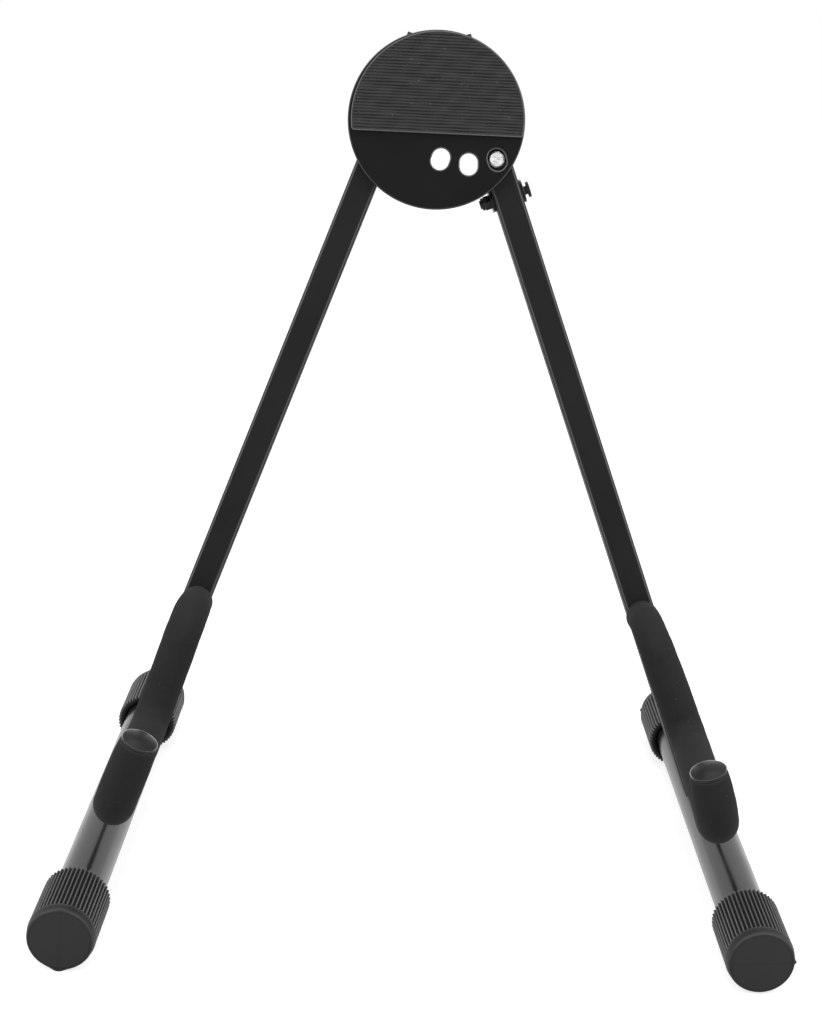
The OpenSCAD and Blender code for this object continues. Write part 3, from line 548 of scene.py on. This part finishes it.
# The top row's gap to the outline, the least gap between rows, and the ribs' gap to the top row.
TOP_GAP, ROW_GAP, TOP_MARGIN = 0.02, 0.08, 1.25
CORNER_UP = PAD_CORNER - PAD_DROP
CORNER_ACROSS = math.sqrt((PAD_RADIUS - PAD_CORNER) ** 2 - CORNER_UP ** 2)


def pad_inside(x, up):
    """How far a point lies inside the pad's outline, with its rounded lower corners."""
    inside = min(PAD_RADIUS - math.hypot(x, up), up + PAD_DROP)
    if up < CORNER_UP and abs(x) > CORNER_ACROSS:
        inside = min(inside, PAD_CORNER - math.hypot(abs(x) - CORNER_ACROSS, up - CORNER_UP))
    return max(inside, 0)


def pad_half(up):
    """Half width of the pad at a height up the plate from its centre."""
    above = up + PAD_DROP
    if above < PAD_CORNER:
        rounding = math.sqrt(max(PAD_CORNER ** 2 - (PAD_CORNER - above) ** 2, 0))
        return CORNER_ACROSS + rounding
    return math.sqrt(max(PAD_RADIUS ** 2 - up ** 2, 0))


def pad_rows():
    """Heights of the mesh rows, up the plate from the pad's centre."""
    top = PAD_RADIUS - TOP_GAP
    rows = [line - PAD_DROP for line in EDGE_LINES[:-1]]
    offsets = sorted({sign * share for share, _ in GROOVE for sign in (-1, 1)})
    for rib in range(1, int((top + PAD_DROP) / RIB_PITCH) + 1):
        for offset in offsets:
            up = (rib + offset) * RIB_PITCH - PAD_DROP
            if rows[-1] + ROW_GAP < up < top - TOP_MARGIN:
                rows.append(up)
    return rows + [top - line for line in TOP_LINES]


def pad_columns(half):
    """Places of a row's points across the pad, where this is its half width."""
    widest = EDGE_LINES[-1]
    squeeze = min(widest, half * 0.5) / widest
    span = half - widest * squeeze
    return ([-half + line * squeeze for line in EDGE_LINES]
            + [-span + 2 * span * k / PAD_COLUMNS for k in range(1, PAD_COLUMNS)]
            + [half - line * squeeze for line in reversed(EDGE_LINES)])


def pad_point(x, up):
    """Where the pad's face is across, up and out of the plate, and how much painted highlight it
    gets there.
    """
    inside = pad_inside(x, up)
    rib, phase = round((up + PAD_DROP) / RIB_PITCH), (up + PAD_DROP) / RIB_PITCH % 1
    wander = RIB_WANDER * drift(x, rib, *WANDER_DRIFT) * min(inside / RIB_WANDER_FROM, 1)
    groove = table_at(GROOVE, min(phase, 1 - phase))
    groove *= clamped((inside - PAD_RIM) / GROOVE_START)
    groove *= max(GROOVE_MEAN + GROOVE_SPREAD * drift(x, rib, *GROOVE_DRIFT), GROOVE_LEAST)
    low = PAD_SOFT - math.sqrt(max(PAD_SOFT ** 2 - max(PAD_SOFT - inside, 0) ** 2, 0))
    turned = Matrix.Rotation(PAD_TURN, 2) @ Vector((x, up + wander))
    # A painted highlight round the rim, and a weaker one on the crests, which leaves painted shade
    # in the grooves.
    rim = clamped((PAD_RIM_HIGHLIGHT_WIDTH - inside) / PAD_RIM_HIGHLIGHT_FADE)
    crest = (CREST_HIGHLIGHT + CREST_HIGHLIGHT_SPREAD * drift(x, up, *HIGHLIGHT_DRIFT)) * (1 - groove)
    return ((turned.x + PAD_ASIDE, turned.y + PAD_RISE,
             PAD_BASE + RIB_HEIGHT * (1 - groove) - low), PAD_RIM_HIGHLIGHT * rim + (1 - rim) * crest)


def make_pad():
    """The pad: a plain rim round straight ribs that wander and fade a little."""
    def place(x, y, z):
        return HEAD_CENTRE + x * SIDE + y * UP_PLATE + z * OUT_OF_PLATE

    grid = [[pad_point(x, up) for x in pad_columns(max(pad_half(up), LEAST_HALF))]
            for up in pad_rows()]
    width, last = len(grid[0]), len(grid) - 1
    face = [point for row in grid for point, _ in row]
    painted_light = [light_share for row in grid for _, light_share in row]
    faces = [(i * width + k, i * width + k + 1, (i + 1) * width + k + 1, (i + 1) * width + k)
             for i in range(last) for k in range(width - 1)]
    # the upright edge and the back face
    rim = list(range(width)) + [i * width + width - 1 for i in range(1, last + 1)]
    rim += [last * width + k for k in range(width - 2, -1, -1)]
    rim += [i * width for i in range(last - 1, 0, -1)]
    base = len(face)
    points = [place(*point) for point in face]
    points += [place(face[i][0], face[i][1], PAD_BACK) for i in rim]
    painted_light += [0.0] * len(rim)
    for k in range(len(rim)):
        m = (k + 1) % len(rim)
        faces.append((rim[k], rim[m], base + m, base + k))
    faces.append(tuple(range(base, base + len(rim))))
    pad = make_piece("ribbed_head_pad", points, faces, PAD_RUBBER, "stand", "head_pad",
                     sharp=50, painted_light=painted_light)


# The foot caps.
CAP_LENGTH = {"front": 48, "rear": 46.5}
CAP_RADIUS, CAP_BAND, CAP_GROOVE, CAP_RIBS = 18, 6.8, 1.1, 50
CAP_ROUND, CAP_TAPER, CAP_CROWN = 1.8, 0.6, 0.8
# How thick the closed end is, how the mouth widens, and the room round the tube.
CAP_END, CAP_MOUTH, CAP_ROOM = 4, 0.8, 0.1
CAP_STEPS, CROWN_STEPS, ROUND_DEGREES = CAP_RIBS * 10, 16, 10
CREST_RADIUS, END_RADIUS = CAP_RADIUS - 0.1, CAP_RADIUS - CAP_TAPER
# Depth of the groove over a rib's share of the turn.
CAP_RIB = ((0, 1), (0.08, 0.97), (0.17, 0.5), (0.26, 0.04), (0.31, 0), (0.49, 0), (0.54, 0.04),
           (0.63, 0.5), (0.72, 0.97), (0.9, 1), (1, 1))
# Rings of the mesh as (z, drop from the crests, share of the groove, painted highlight): at the
# mouth, where a painted light line runs round its edge, and where the ribs run out, with z from the
# plain band.
MOUTH_RINGS = ((0, 1.6, 0, 0.1), (0, 0.7, 0.8, 0.6), (0.12, 0.3, 1, 1.5), (0.5, 0, 1, 1.5),
               (1, 0, 1, 1))
RUN_OUT_RINGS = ((-0.9, 0, 1, 1), (-0.45, 0, 0.85, 0.9), (-0.15, 0, 0.3, 0.5), (0, 0, 0, 0.1))
# Rings between them, as shares of the ribs' length, and rings of the band, as (share, painted
# highlight).
RIB_SHARES = (0.12, 0.35, 0.6, 0.85)
BAND_START, BAND_START_HIGHLIGHT = 0.2, 0.4
BAND_SHARES = ((0.3, 0.2), (0.8, 0.12))
# Painted highlight on the round edge, strongest in its middle, and a plain lightening of the closed
# end.
ROUND_HIGHLIGHT, ROUND_MID_HIGHLIGHT, END_FACE_LIGHTENING = 0.22, 0.3, 0.26
# How strong the painted light is on the front and rear caps; the rear caps get more as a painted
# sheen.
CAP_PAINTED_LIGHT = {"front": 0.75, "rear": 1.7}
# The share of a ring's painted highlight that shows: on ribs, least and more at the sides, where
# side light catches the crests; on the round edge, in the middle and more at the top, where light
# from above falls.
RIB_SHOWN, RIB_SHOWN_SIDES = 0.85, 0.75
ROUND_SHOWN, ROUND_SHOWN_TOP = 0.75, 0.25
# The moulding line, with less painted highlight along it, its nibs on the round edge, and the mark
# of the gate on the closed end.
PARTING = {"left": math.radians(4), "right": math.radians(92)}
PARTING_HEIGHT, PARTING_WIDTH, PARTING_DIMMING = 0.04, 0.4, 0.15
NIB_HEIGHT, NIB_WIDTH, NIB_RADIUS = 0.9, {"left": 3.2, "right": 0.9}, CAP_RADIUS - 0.15
GATE_DEPTH, GATE_WIDTH = 0.15, 0.9
# A point this little below the shoulder still counts as on the closed end.
END_TOLERANCE = 0.01


def cap_rings(length):
    """Rings of (z, radius, share of the groove, painted highlight) from the mouth to the closed
    end.
    """
    band = length - CAP_BAND
    shoulder = length - CAP_ROUND - CAP_CROWN
    rings = [(z, CREST_RADIUS - drop, share, light_share) for z, drop, share, light_share in MOUTH_RINGS]
    rings += [(band * along, CREST_RADIUS, 1, 1) for along in RIB_SHARES]
    rings += [(band + z, CREST_RADIUS - drop, share, light_share)
              for z, drop, share, light_share in RUN_OUT_RINGS]
    rings.append((band + BAND_START, CAP_RADIUS, 0, BAND_START_HIGHLIGHT))
    rings += [(band + (shoulder - band) * along, CAP_RADIUS - CAP_TAPER * along, 0, light_share)
              for along, light_share in BAND_SHARES]
    for degrees in range(0, 91, ROUND_DEGREES):
        a = math.radians(degrees)
        rings.append((shoulder + CAP_ROUND * math.sin(a),
                      END_RADIUS - CAP_ROUND * (1 - math.cos(a)), 0,
                      ROUND_HIGHLIGHT + ROUND_MID_HIGHLIGHT * max(math.sin(2 * a), 0) ** 4))
    flat = END_RADIUS - CAP_ROUND
    sphere = (flat ** 2 + CAP_CROWN ** 2) / (2 * CAP_CROWN)
    for step in range(1, CROWN_STEPS):
        r = flat * (1 - step / CROWN_STEPS)
        rings.append((length - sphere + math.sqrt(sphere ** 2 - r ** 2), r, 0, END_FACE_LIGHTENING))
    return rings


def cap_point(z, radius, share, turn, length, side):
    """A cap's radius and z at a turn, and how much its place shows of a ring's painted highlight.
    """
    shoulder = length - CAP_ROUND - CAP_CROWN
    groove = table_at(CAP_RIB, turn / (2 * math.pi) * CAP_RIBS % 1)
    r = radius - CAP_GROOVE * share * groove
    off_line = radius * abs(math.sin(turn - PARTING[side]))
    on_end = z > shoulder - END_TOLERANCE
    if 0 <= z - shoulder <= CAP_ROUND and radius > END_RADIUS - CAP_ROUND:
        ridge = math.exp(-(off_line / NIB_WIDTH[side]) ** 2) * on_end
        lift = ridge * (NIB_HEIGHT * math.sin(math.pi * (z - shoulder) / CAP_ROUND))
        r = min(r + lift, NIB_RADIUS)
        shown = ROUND_SHOWN + ROUND_SHOWN_TOP * math.cos(turn)
    else:
        ridge = math.exp(-(off_line / PARTING_WIDTH) ** 2) * on_end
        lift = ridge * (PARTING_HEIGHT * (z > shoulder + CAP_ROUND))
        shown = RIB_SHOWN + RIB_SHOWN_SIDES * math.sin(turn) ** 2 if share else 1
        # Less painted highlight in the grooves, as painted shade, and along the moulding line.
        shown *= 1 - (share * min(2 * groove, 1) + PARTING_DIMMING * ridge)
    gate = GATE_DEPTH * math.exp(-(radius / GATE_WIDTH) ** 2)
    return r, min(z + lift, length) - gate, shown


def make_cap(side, end, body):
    """A cap with crisp ribs, a moulding line across its closed end, and the gate's small mark."""
    heading = FOOT_DIR if end == "front" else -FOOT_DIR
    length = CAP_LENGTH[end]
    start = FOOT_JOINT + heading * (FOOT_REACH[end] - length)
    second = heading.cross(UP)

    def place(r, turn, z):
        return mirrored(start + r * math.sin(turn) * second + r * math.cos(turn) * UP + z * heading,
                        side)

    inner = FOOT_TUBE / 2 + CAP_ROOM
    rings = [[place(r, turn, z) for turn in turns(CAP_STEPS)]
             for z, r in ((length - CAP_END, inner), (CAP_MOUTH, inner), (0, inner + CAP_MOUTH))]
    painted_light = [0.0] * (len(rings) * CAP_STEPS)
    for z, radius, share, light_share in cap_rings(length):
        ring = []
        for turn in turns(CAP_STEPS):
            r, height, shown = cap_point(z, radius, share, turn, length, side)
            ring.append(place(r, turn, height))
            painted_light.append(light_share * CAP_PAINTED_LIGHT[end] * shown)
        rings.append(ring)
    points, faces = bridge(rings, close_ends=False)
    # the middles of the closed end, outside and inside
    last, middle = (len(rings) - 1) * CAP_STEPS, len(points)
    points += [place(0, 0, length - GATE_DEPTH), place(0, 0, length - CAP_END)]
    painted_light += [END_FACE_LIGHTENING * CAP_PAINTED_LIGHT[end], 0.0]
    for k in range(CAP_STEPS):
        m = (k + 1) % CAP_STEPS
        faces += [(last + k, last + m, middle), (k, m, middle + 1)]
    make_piece(side + "_" + end + "_foot_cap", points, faces, CAP_RUBBER, body,
               side + "_" + end + "_cap", sharp=50, painted_light=painted_light)


# The arms and their foam sleeves.
ROD, SLEEVE = 10, 19.8
ARM_ROOT_HEIGHT, ARM_STAND_OFF, SHELF_HEIGHT, SHELF_LENGTH = 129.5, 31.5, 73, 122
BEND_RADII = (18, 18, 22)
LIP = {"left": 47, "right": 37.5}
LIP_LEAN_IN, LIP_LEAN_OUT = math.radians(19), math.radians(6.6)
LIP_DIR = Vector((-math.tan(LIP_LEAN_IN), -math.tan(LIP_LEAN_OUT), 1)).normalized()
ARM_TURN = {"left": math.radians(1.8), "right": math.radians(-0.4)}
# How far the foam pulls the arm's corners sideways and up, from the leg to the tip.
ARM_DRIFT = {"left": ((-1.2, 0), (-1.1, 0), (-1.2, 0), (1.9, 0), (-0.6, 0)),
             "right": ((-0.5, 0), (-0.4, 0), (1.5, 0), (-1.1, 0), (1.4, 1.6))}
# How much the foam swells, by the way along the arm from the leg and from the tip.
SWELL_FROM_LEG = {"left": ((0, -0.55), (11, -0.4), (24, 0.3), (40, 0.5), (400, 0.5)),
                  "right": ((0, -0.5), (25, -0.45), (40, 0.05), (54, 0.5), (400, 0.5))}
SWELL_FROM_TIP = ((0, -0.5), (3, -0.25), (9, 0.35), (20, 0.6), (45, 0.55), (70, 0), (400, 0))
# Gaps between rings, along the straight runs and in degrees of a bend, and steps round a ring.
RUN_GAP, BEND_GAP, SLEEVE_STEPS = 4, 5, 56
# Foam skin under the nominal size, and the heights of its waves and of the creases in bends.
FOAM_INSET, FOAM_LOBE, FOAM_WAVE, FOAM_CREASE = 0.05, 0.06, 0.05, 0.1
# Lobes round a ring and their twist from ring to ring, and the speed and start of the waves.
LOBES, LOBE_TWIST, WAVE_SPEED, WAVE_START = 3, 0.7, 1.9, 1.3
# The sleeve's cut at the leg, as (way in, drop, painted highlight), and its soft end at the tip.
SLEEVE_CUT = ((0, 0.9, 0.1), (0.1, 0.5, 0.8), (0.35, 0.15, 1), (0.8, 0, 0.5), (1.4, 0, 0))
SLEEVE_SOFT, SLEEVE_SOFT_DEGREES, SLEEVE_TIP_HIGHLIGHT = 1.6, 15, 0.25
# The sleeve's gaps to the leg and to the rod.
SLEEVE_GAP, BORE_ROOM = 0.1, 0.1
LEAST_BEND_STEPS = 3
# The share of bend of a straight station.
STRAIGHT = Vector((0, 0, 0))


def straight_run(start, end, way, first):
    """Stations along a straight run, with its first point, or its last where first is 1."""
    pieces = max(int((end - start).length / RUN_GAP), 1)
    return [(start + (end - start) * k / pieces, way, STRAIGHT)
            for k in range(first, pieces + first)]


def arm_stations(side):
    """Places, headings and a share of bend along the arm's centre line, from the leg to the tip."""
    root_down = down_at(ARM_ROOT_HEIGHT, LEG_FACE)
    shelf_down = down_at(SHELF_HEIGHT, LEG_FACE + ARM_STAND_OFF)
    root = leg_point(0, root_down, LEG_FACE + SLEEVE_GAP)
    elbow = leg_point(0, root_down, LEG_FACE + ARM_STAND_OFF)
    shelf_start = leg_point(0, shelf_down, LEG_FACE + ARM_STAND_OFF)
    shelf_end = shelf_start + SHELF_LENGTH * FOOT_DIR
    tip = shelf_end + LIP[side] * LIP_DIR
    arm_turn = Matrix.Rotation(-ARM_TURN[side], 3, OUT_OF_PLATE)
    corners = [elbow + arm_turn @ (point - elbow) + Vector((aside, 0, rise))
               for point, (aside, rise) in zip((root, elbow, shelf_start, shelf_end, tip),
                                               ARM_DRIFT[side])]
    stations, here = [], corners[0]
    for before, corner, after, radius in zip(corners, corners[1:], corners[2:], BEND_RADII):
        way_in = (corner - before).normalized()
        way_out = (after - corner).normalized()
        bend = way_in.angle(way_out)
        setback = radius * math.tan(bend / 2)
        bend_start = corner - setback * way_in
        stations += straight_run(here, bend_start, way_in, 0)
        axis = way_in.cross(way_out).normalized()
        inward = axis.cross(way_in)
        centre = bend_start + radius * inward
        steps = max(int(math.degrees(bend) / BEND_GAP), LEAST_BEND_STEPS)
        for k in range(steps + 1):
            spin = Matrix.Rotation(bend * k / steps, 3, axis)
            ease = math.sin(math.pi * k / steps)
            stations.append((centre - spin @ (radius * inward), spin @ way_in,
                             (spin @ inward) * ease))
        here = corner + setback * way_out
    way = (corners[-1] - here).normalized()
    return stations + straight_run(here, corners[-1], way, 1)


def make_sleeve(side, body):
    """The foam tube: it swells and creases a little, and its ends are soft and carry a painted
    highlight.
    """
    stations = arm_stations(side)
    first, _ = square_to(stations[0][1])
    loop, reach = [], 0.0
    for index, (place, way, inward) in enumerate(stations):
        first = (first - first.dot(way) * way).normalized()
        reach += (place - stations[max(index - 1, 0)][0]).length
        loop.append((place, first.copy(), way.cross(first), way, inward, index, reach))

    def swollen(along):
        return (SLEEVE / 2 - FOAM_INSET + table_at(SWELL_FROM_LEG[side], along)
                + table_at(SWELL_FROM_TIP, reach - along))

    def ring(entry, radius, shift=0.0, foam=False):
        """A ring round a station, moved along the arm, and uneven where it is foam."""
        place, one, two, way, inward, index, _ = entry
        points = []
        for turn in turns(SLEEVE_STEPS):
            out = math.cos(turn) * one + math.sin(turn) * two
            r = radius
            if foam:
                r += (FOAM_LOBE * math.sin(LOBES * turn + index * LOBE_TWIST)
                      + FOAM_WAVE * math.sin(index * WAVE_SPEED + WAVE_START))
                r += FOAM_CREASE * max(out.dot(inward), 0) * math.cos(index * math.pi)
            points.append(mirrored(place + out * r + way * shift, side))
        return points

    rings = [ring(loop[0], swollen(0) - drop, shift) for shift, drop, _ in SLEEVE_CUT]
    painted_light = [light_share for _, _, light_share in SLEEVE_CUT]
    rings += [ring(entry, swollen(entry[-1]), foam=True) for entry in loop[1:-1]]
    painted_light += [0.0] * (len(loop) - 2)
    for degrees in range(0, 91, SLEEVE_SOFT_DEGREES):
        a = math.radians(degrees)
        rings.append(ring(loop[-1], swollen(reach) - SLEEVE_SOFT + SLEEVE_SOFT * math.cos(a),
                          -SLEEVE_SOFT + SLEEVE_SOFT * math.sin(a)))
        painted_light.append(SLEEVE_TIP_HIGHLIGHT * math.sin(a))
    rings += [ring(entry, ROD / 2 + BORE_ROOM) for entry in reversed(loop)]
    painted_light += [0.0] * len(loop)
    points, faces = bridge(rings, loop=True)
    sleeve = make_piece(side + "_foam_sleeve", points, faces, SLEEVE_FOAM, body,
                        side + "_arm_sleeve", sharp=60,
                        painted_light=[light_share for light_share in painted_light for _ in range(SLEEVE_STEPS)])


# The plugs in the arms' ends.

# The shank in the sleeve, the rim round its end, and the dome over it.
SHANK_RADIUS, SHANK_LENGTH = 4.9, 10
PLUG_RADIUS, PLUG_GAP, RIM_HEIGHT, RIM_BEVEL = SLEEVE / 2 - 0.3, 0.2, 1.2, 0.3
DOME_HEIGHT, DOME_RADIUS, DOME_STEPS = 2.5, PLUG_RADIUS - 0.6, 12
PLUG_STEPS = 64
# The rim's rounded-over edge, which carries a painted highlight: how far its foot is below the
# rim's top, and its top inwards and above.
EDGE_FOOT, EDGE_IN, EDGE_TOP = 0.1, 0.12, 0.15
# The painted highlight on the rim's edge, at the front and what is added towards the back.
PLUG_RIM_FRONT_HIGHLIGHT, PLUG_RIM_BACK_HIGHLIGHT = 0.35, 0.65


def make_tip_plug(side, body):
    """The plug in the arm's end: a rim whose edge carries a painted highlight, under a low glossy
    dome.
    """
    place, way, _ = arm_stations(side)[-1]
    one, two = square_to(way)

    def at(x, y, z):
        return mirrored(place + x * one + y * two + z * way, side)

    rim_top = PLUG_GAP + RIM_HEIGHT
    sphere = (PLUG_RADIUS ** 2 + DOME_HEIGHT ** 2) / (2 * DOME_HEIGHT)
    # (radius, height) and the share of painted highlight
    outline = [((0, -SHANK_LENGTH), 0), ((SHANK_RADIUS, -SHANK_LENGTH), 0),
               ((SHANK_RADIUS, PLUG_GAP), 0), ((PLUG_RADIUS - RIM_BEVEL, PLUG_GAP), 0),
               ((PLUG_RADIUS, PLUG_GAP + RIM_BEVEL), 0), ((PLUG_RADIUS, rim_top - EDGE_FOOT), 0.5),
               ((PLUG_RADIUS - EDGE_IN, rim_top + EDGE_TOP), 1)]
    for step in range(DOME_STEPS + 1):
        r = DOME_RADIUS * (1 - step / DOME_STEPS)
        outline.append(((r, rim_top + DOME_HEIGHT - sphere + math.sqrt(sphere ** 2 - r ** 2)), 0))
    points, faces = revolve([point for point, _ in outline], at, PLUG_STEPS)
    painted_light = []
    for (radius, _), share in outline:
        for turn in turns(PLUG_STEPS) if radius > 0 else (0,):
            rearward = (math.cos(turn) * one + math.sin(turn) * two).y
            painted_light.append(max(share * (PLUG_RIM_FRONT_HIGHLIGHT + PLUG_RIM_BACK_HIGHLIGHT * rearward), 0.0))
    make_piece(side + "_tip_plug", points, faces, PLUG_GLOSS, body, side + "_arm_plug",
               sharp=35, painted_light=painted_light)


# The lock spring.
COIL_REAR, COIL_FRONT, COIL_WIRE, COIL_TURNS = -24.9, -10.1, 1, 5
COIL_RADIUS_REAR, COIL_RADIUS_FRONT, COIL_SAG = 5.4, 4.2, 0.6
COIL_STEPS, WIRE_STEPS = 24, 10


def make_lock_coil():
    """The coil round the pin, inside the leg: its wider rear end leaves the pin's shank room to
    lean."""
    rise = (COIL_FRONT - COIL_REAR - COIL_WIRE) / COIL_TURNS
    rings = []
    for i in range(COIL_TURNS * COIL_STEPS + 1):
        turn = 2 * math.pi * i / COIL_STEPS
        share = i / (COIL_TURNS * COIL_STEPS)
        mean = COIL_RADIUS_REAR + (COIL_RADIUS_FRONT - COIL_RADIUS_REAR) * share
        down = PIN_REACH + COIL_SAG * (1 - share)
        ring = []
        for a in turns(WIRE_STEPS):
            r = mean + COIL_WIRE / 2 * math.cos(a)
            forward = COIL_REAR + COIL_WIRE / 2 * (1 + math.sin(a)) + rise * i / COIL_STEPS
            ring.append(leg_point(r * math.cos(turn), down - r * math.sin(turn), forward))
        rings.append(ring)
    points, faces = bridge(rings)
    coil = make_piece("lock_coil", points, faces, SPRING_STEEL, None, "lock_spring",
                      sharp=50)
    leg_point(0, PIN_REACH, COIL_REAR) * MM
    leg_point(0, PIN_REACH, COIL_FRONT) * MM
    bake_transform(coil)


# The studio, in metres.
WHITE = (1, 1, 1, 1)
FLOOR_REACH, FLOOR_COLOUR, FLOOR_GLOW = 30, (0.5, 0.5, 0.5, 1), 0.72
WORLD_LIGHT, WORLD_SEEN = 0.55, 1.0
LIT_PLACE = Vector((0, 0, 0.2))
# Name, place, width, height and power of each softbox.
SOFTBOXES = (("left_softbox", (-1.3, -0.6, 1.1), 0.9, 1.4, 14),
             ("right_softbox", (1.3, -0.5, 1.1), 0.9, 1.4, 14),
             ("top_softbox", (0, 0.1, 1.9), 1.4, 1.2, 12),
             ("front_softbox", (0, -1.4, 0.9), 0.2, 0.2, 1))
# The camera that was fitted to the photograph. Its focal length is in pixels of the picture.
CAMERA_PLACE = (-0.015998, -1.157309, 0.582832)
YAW, PITCH, ROLL = math.radians(0.447062), math.radians(18.264854), math.radians(2.098529)
FOCAL_PIXELS, PICTURE_HEIGHT, SENSOR = 2203.908, 1024, 36
NEAREST, FARTHEST = 0.01, 200


def any_ray(tree, *kinds):
    """1 where the ray is of one of these kinds, and else 0."""
    rays = add(tree, "LightPath")
    mask = rays.outputs[kinds[0]]
    for kind in kinds[1:]:
        larger = add(tree, "Math", {0: mask, 1: rays.outputs[kind]}, operation="MAXIMUM")
        mask = larger.outputs["Value"]
    return mask


def make_floor():
    """A pale floor that keeps the shadow and shows near white to the camera and in gloss."""
    mesh = bpy.data.meshes.new("studio_floor")
    corners = [(x * FLOOR_REACH, y * FLOOR_REACH, 0)
               for x, y in ((-1, -1), (1, -1), (1, 1), (-1, 1))]
    mesh.from_pydata(corners, [], [(0, 1, 2, 3)])
    floor = bpy.data.objects.new("studio_floor", mesh)
    bpy.context.scene.collection.objects.link(floor)
    material = bpy.data.materials.new("Pale studio floor")
    tree = emptied_tree(material)
    matt = add(tree, "BsdfDiffuse", {"Color": FLOOR_COLOUR})
    strength = add(tree, "Math", {0: any_ray(tree, "Is Camera Ray", "Is Glossy Ray"),
                                  1: FLOOR_GLOW}, operation="MULTIPLY")
    glow = add(tree, "Emission", {"Color": WHITE, "Strength": strength.outputs["Value"]})
    both = add(tree, "AddShader", {0: matt.outputs["BSDF"], 1: glow.outputs["Emission"]})
    add(tree, "OutputMaterial", {"Surface": both.outputs["Shader"]})
    mesh.materials.append(material)


def make_world():
    """Plain light from all round, which shows as white where it is seen or mirrored."""
    world = bpy.data.worlds.new("studio")
    bpy.context.scene.world = world
    tree = emptied_tree(world)
    seen = any_ray(tree, "Is Camera Ray", "Is Glossy Ray", "Is Transmission Ray")
    level = add(tree, "MapRange", {"Value": seen, "To Min": WORLD_LIGHT, "To Max": WORLD_SEEN})
    back = add(tree, "Background", {"Color": WHITE, "Strength": level.outputs["Result"]})
    add(tree, "OutputWorld", {"Surface": back.outputs["Background"]})


def make_softbox(name, place, width, height, power):
    lamp = bpy.data.lights.new(name, "AREA")
    lamp.shape = "RECTANGLE"
    lamp.size, lamp.size_y = width, height
    lamp.energy = power
    box = bpy.data.objects.new(name, lamp)
    box.location = place
    box.rotation_mode = "QUATERNION"
    box.rotation_quaternion = (LIT_PLACE - Vector(place)).to_track_quat("-Z", "Y")
    bpy.context.scene.collection.objects.link(box)


def make_camera():
    forward = Vector((math.sin(YAW) * math.cos(PITCH), math.cos(YAW) * math.cos(PITCH),
                      -math.sin(PITCH)))
    right = Vector((math.cos(YAW), -math.sin(YAW), 0))
    up = right.cross(forward)
    across = math.cos(ROLL) * right + math.sin(ROLL) * up
    upright = -math.sin(ROLL) * right + math.cos(ROLL) * up
    data = bpy.data.cameras.new("camera")
    data.sensor_width = SENSOR
    data.lens = SENSOR * FOCAL_PIXELS / PICTURE_HEIGHT
    data.clip_start, data.clip_end = NEAREST, FARTHEST
    camera = bpy.data.objects.new("camera", data)
    turn = Matrix((across, upright, -forward)).transposed().to_4x4()
    camera.matrix_world = Matrix.Translation(CAMERA_PLACE) @ turn
    bpy.context.scene.collection.objects.link(camera)
    bpy.context.scene.camera = camera


# The pieces and the studio are made.
make_pad()
for side, body in (("left", "stand"), ("right", "folding_leg")):
    make_cap(side, "front", body)
    make_cap(side, "rear", body)
    make_sleeve(side, body)
    make_tip_plug(side, body)
make_lock_coil()

make_floor()
make_world()
for softbox in SOFTBOXES:
    make_softbox(*softbox)
make_camera()
bpy.context.scene.view_settings.view_transform = "Standard"
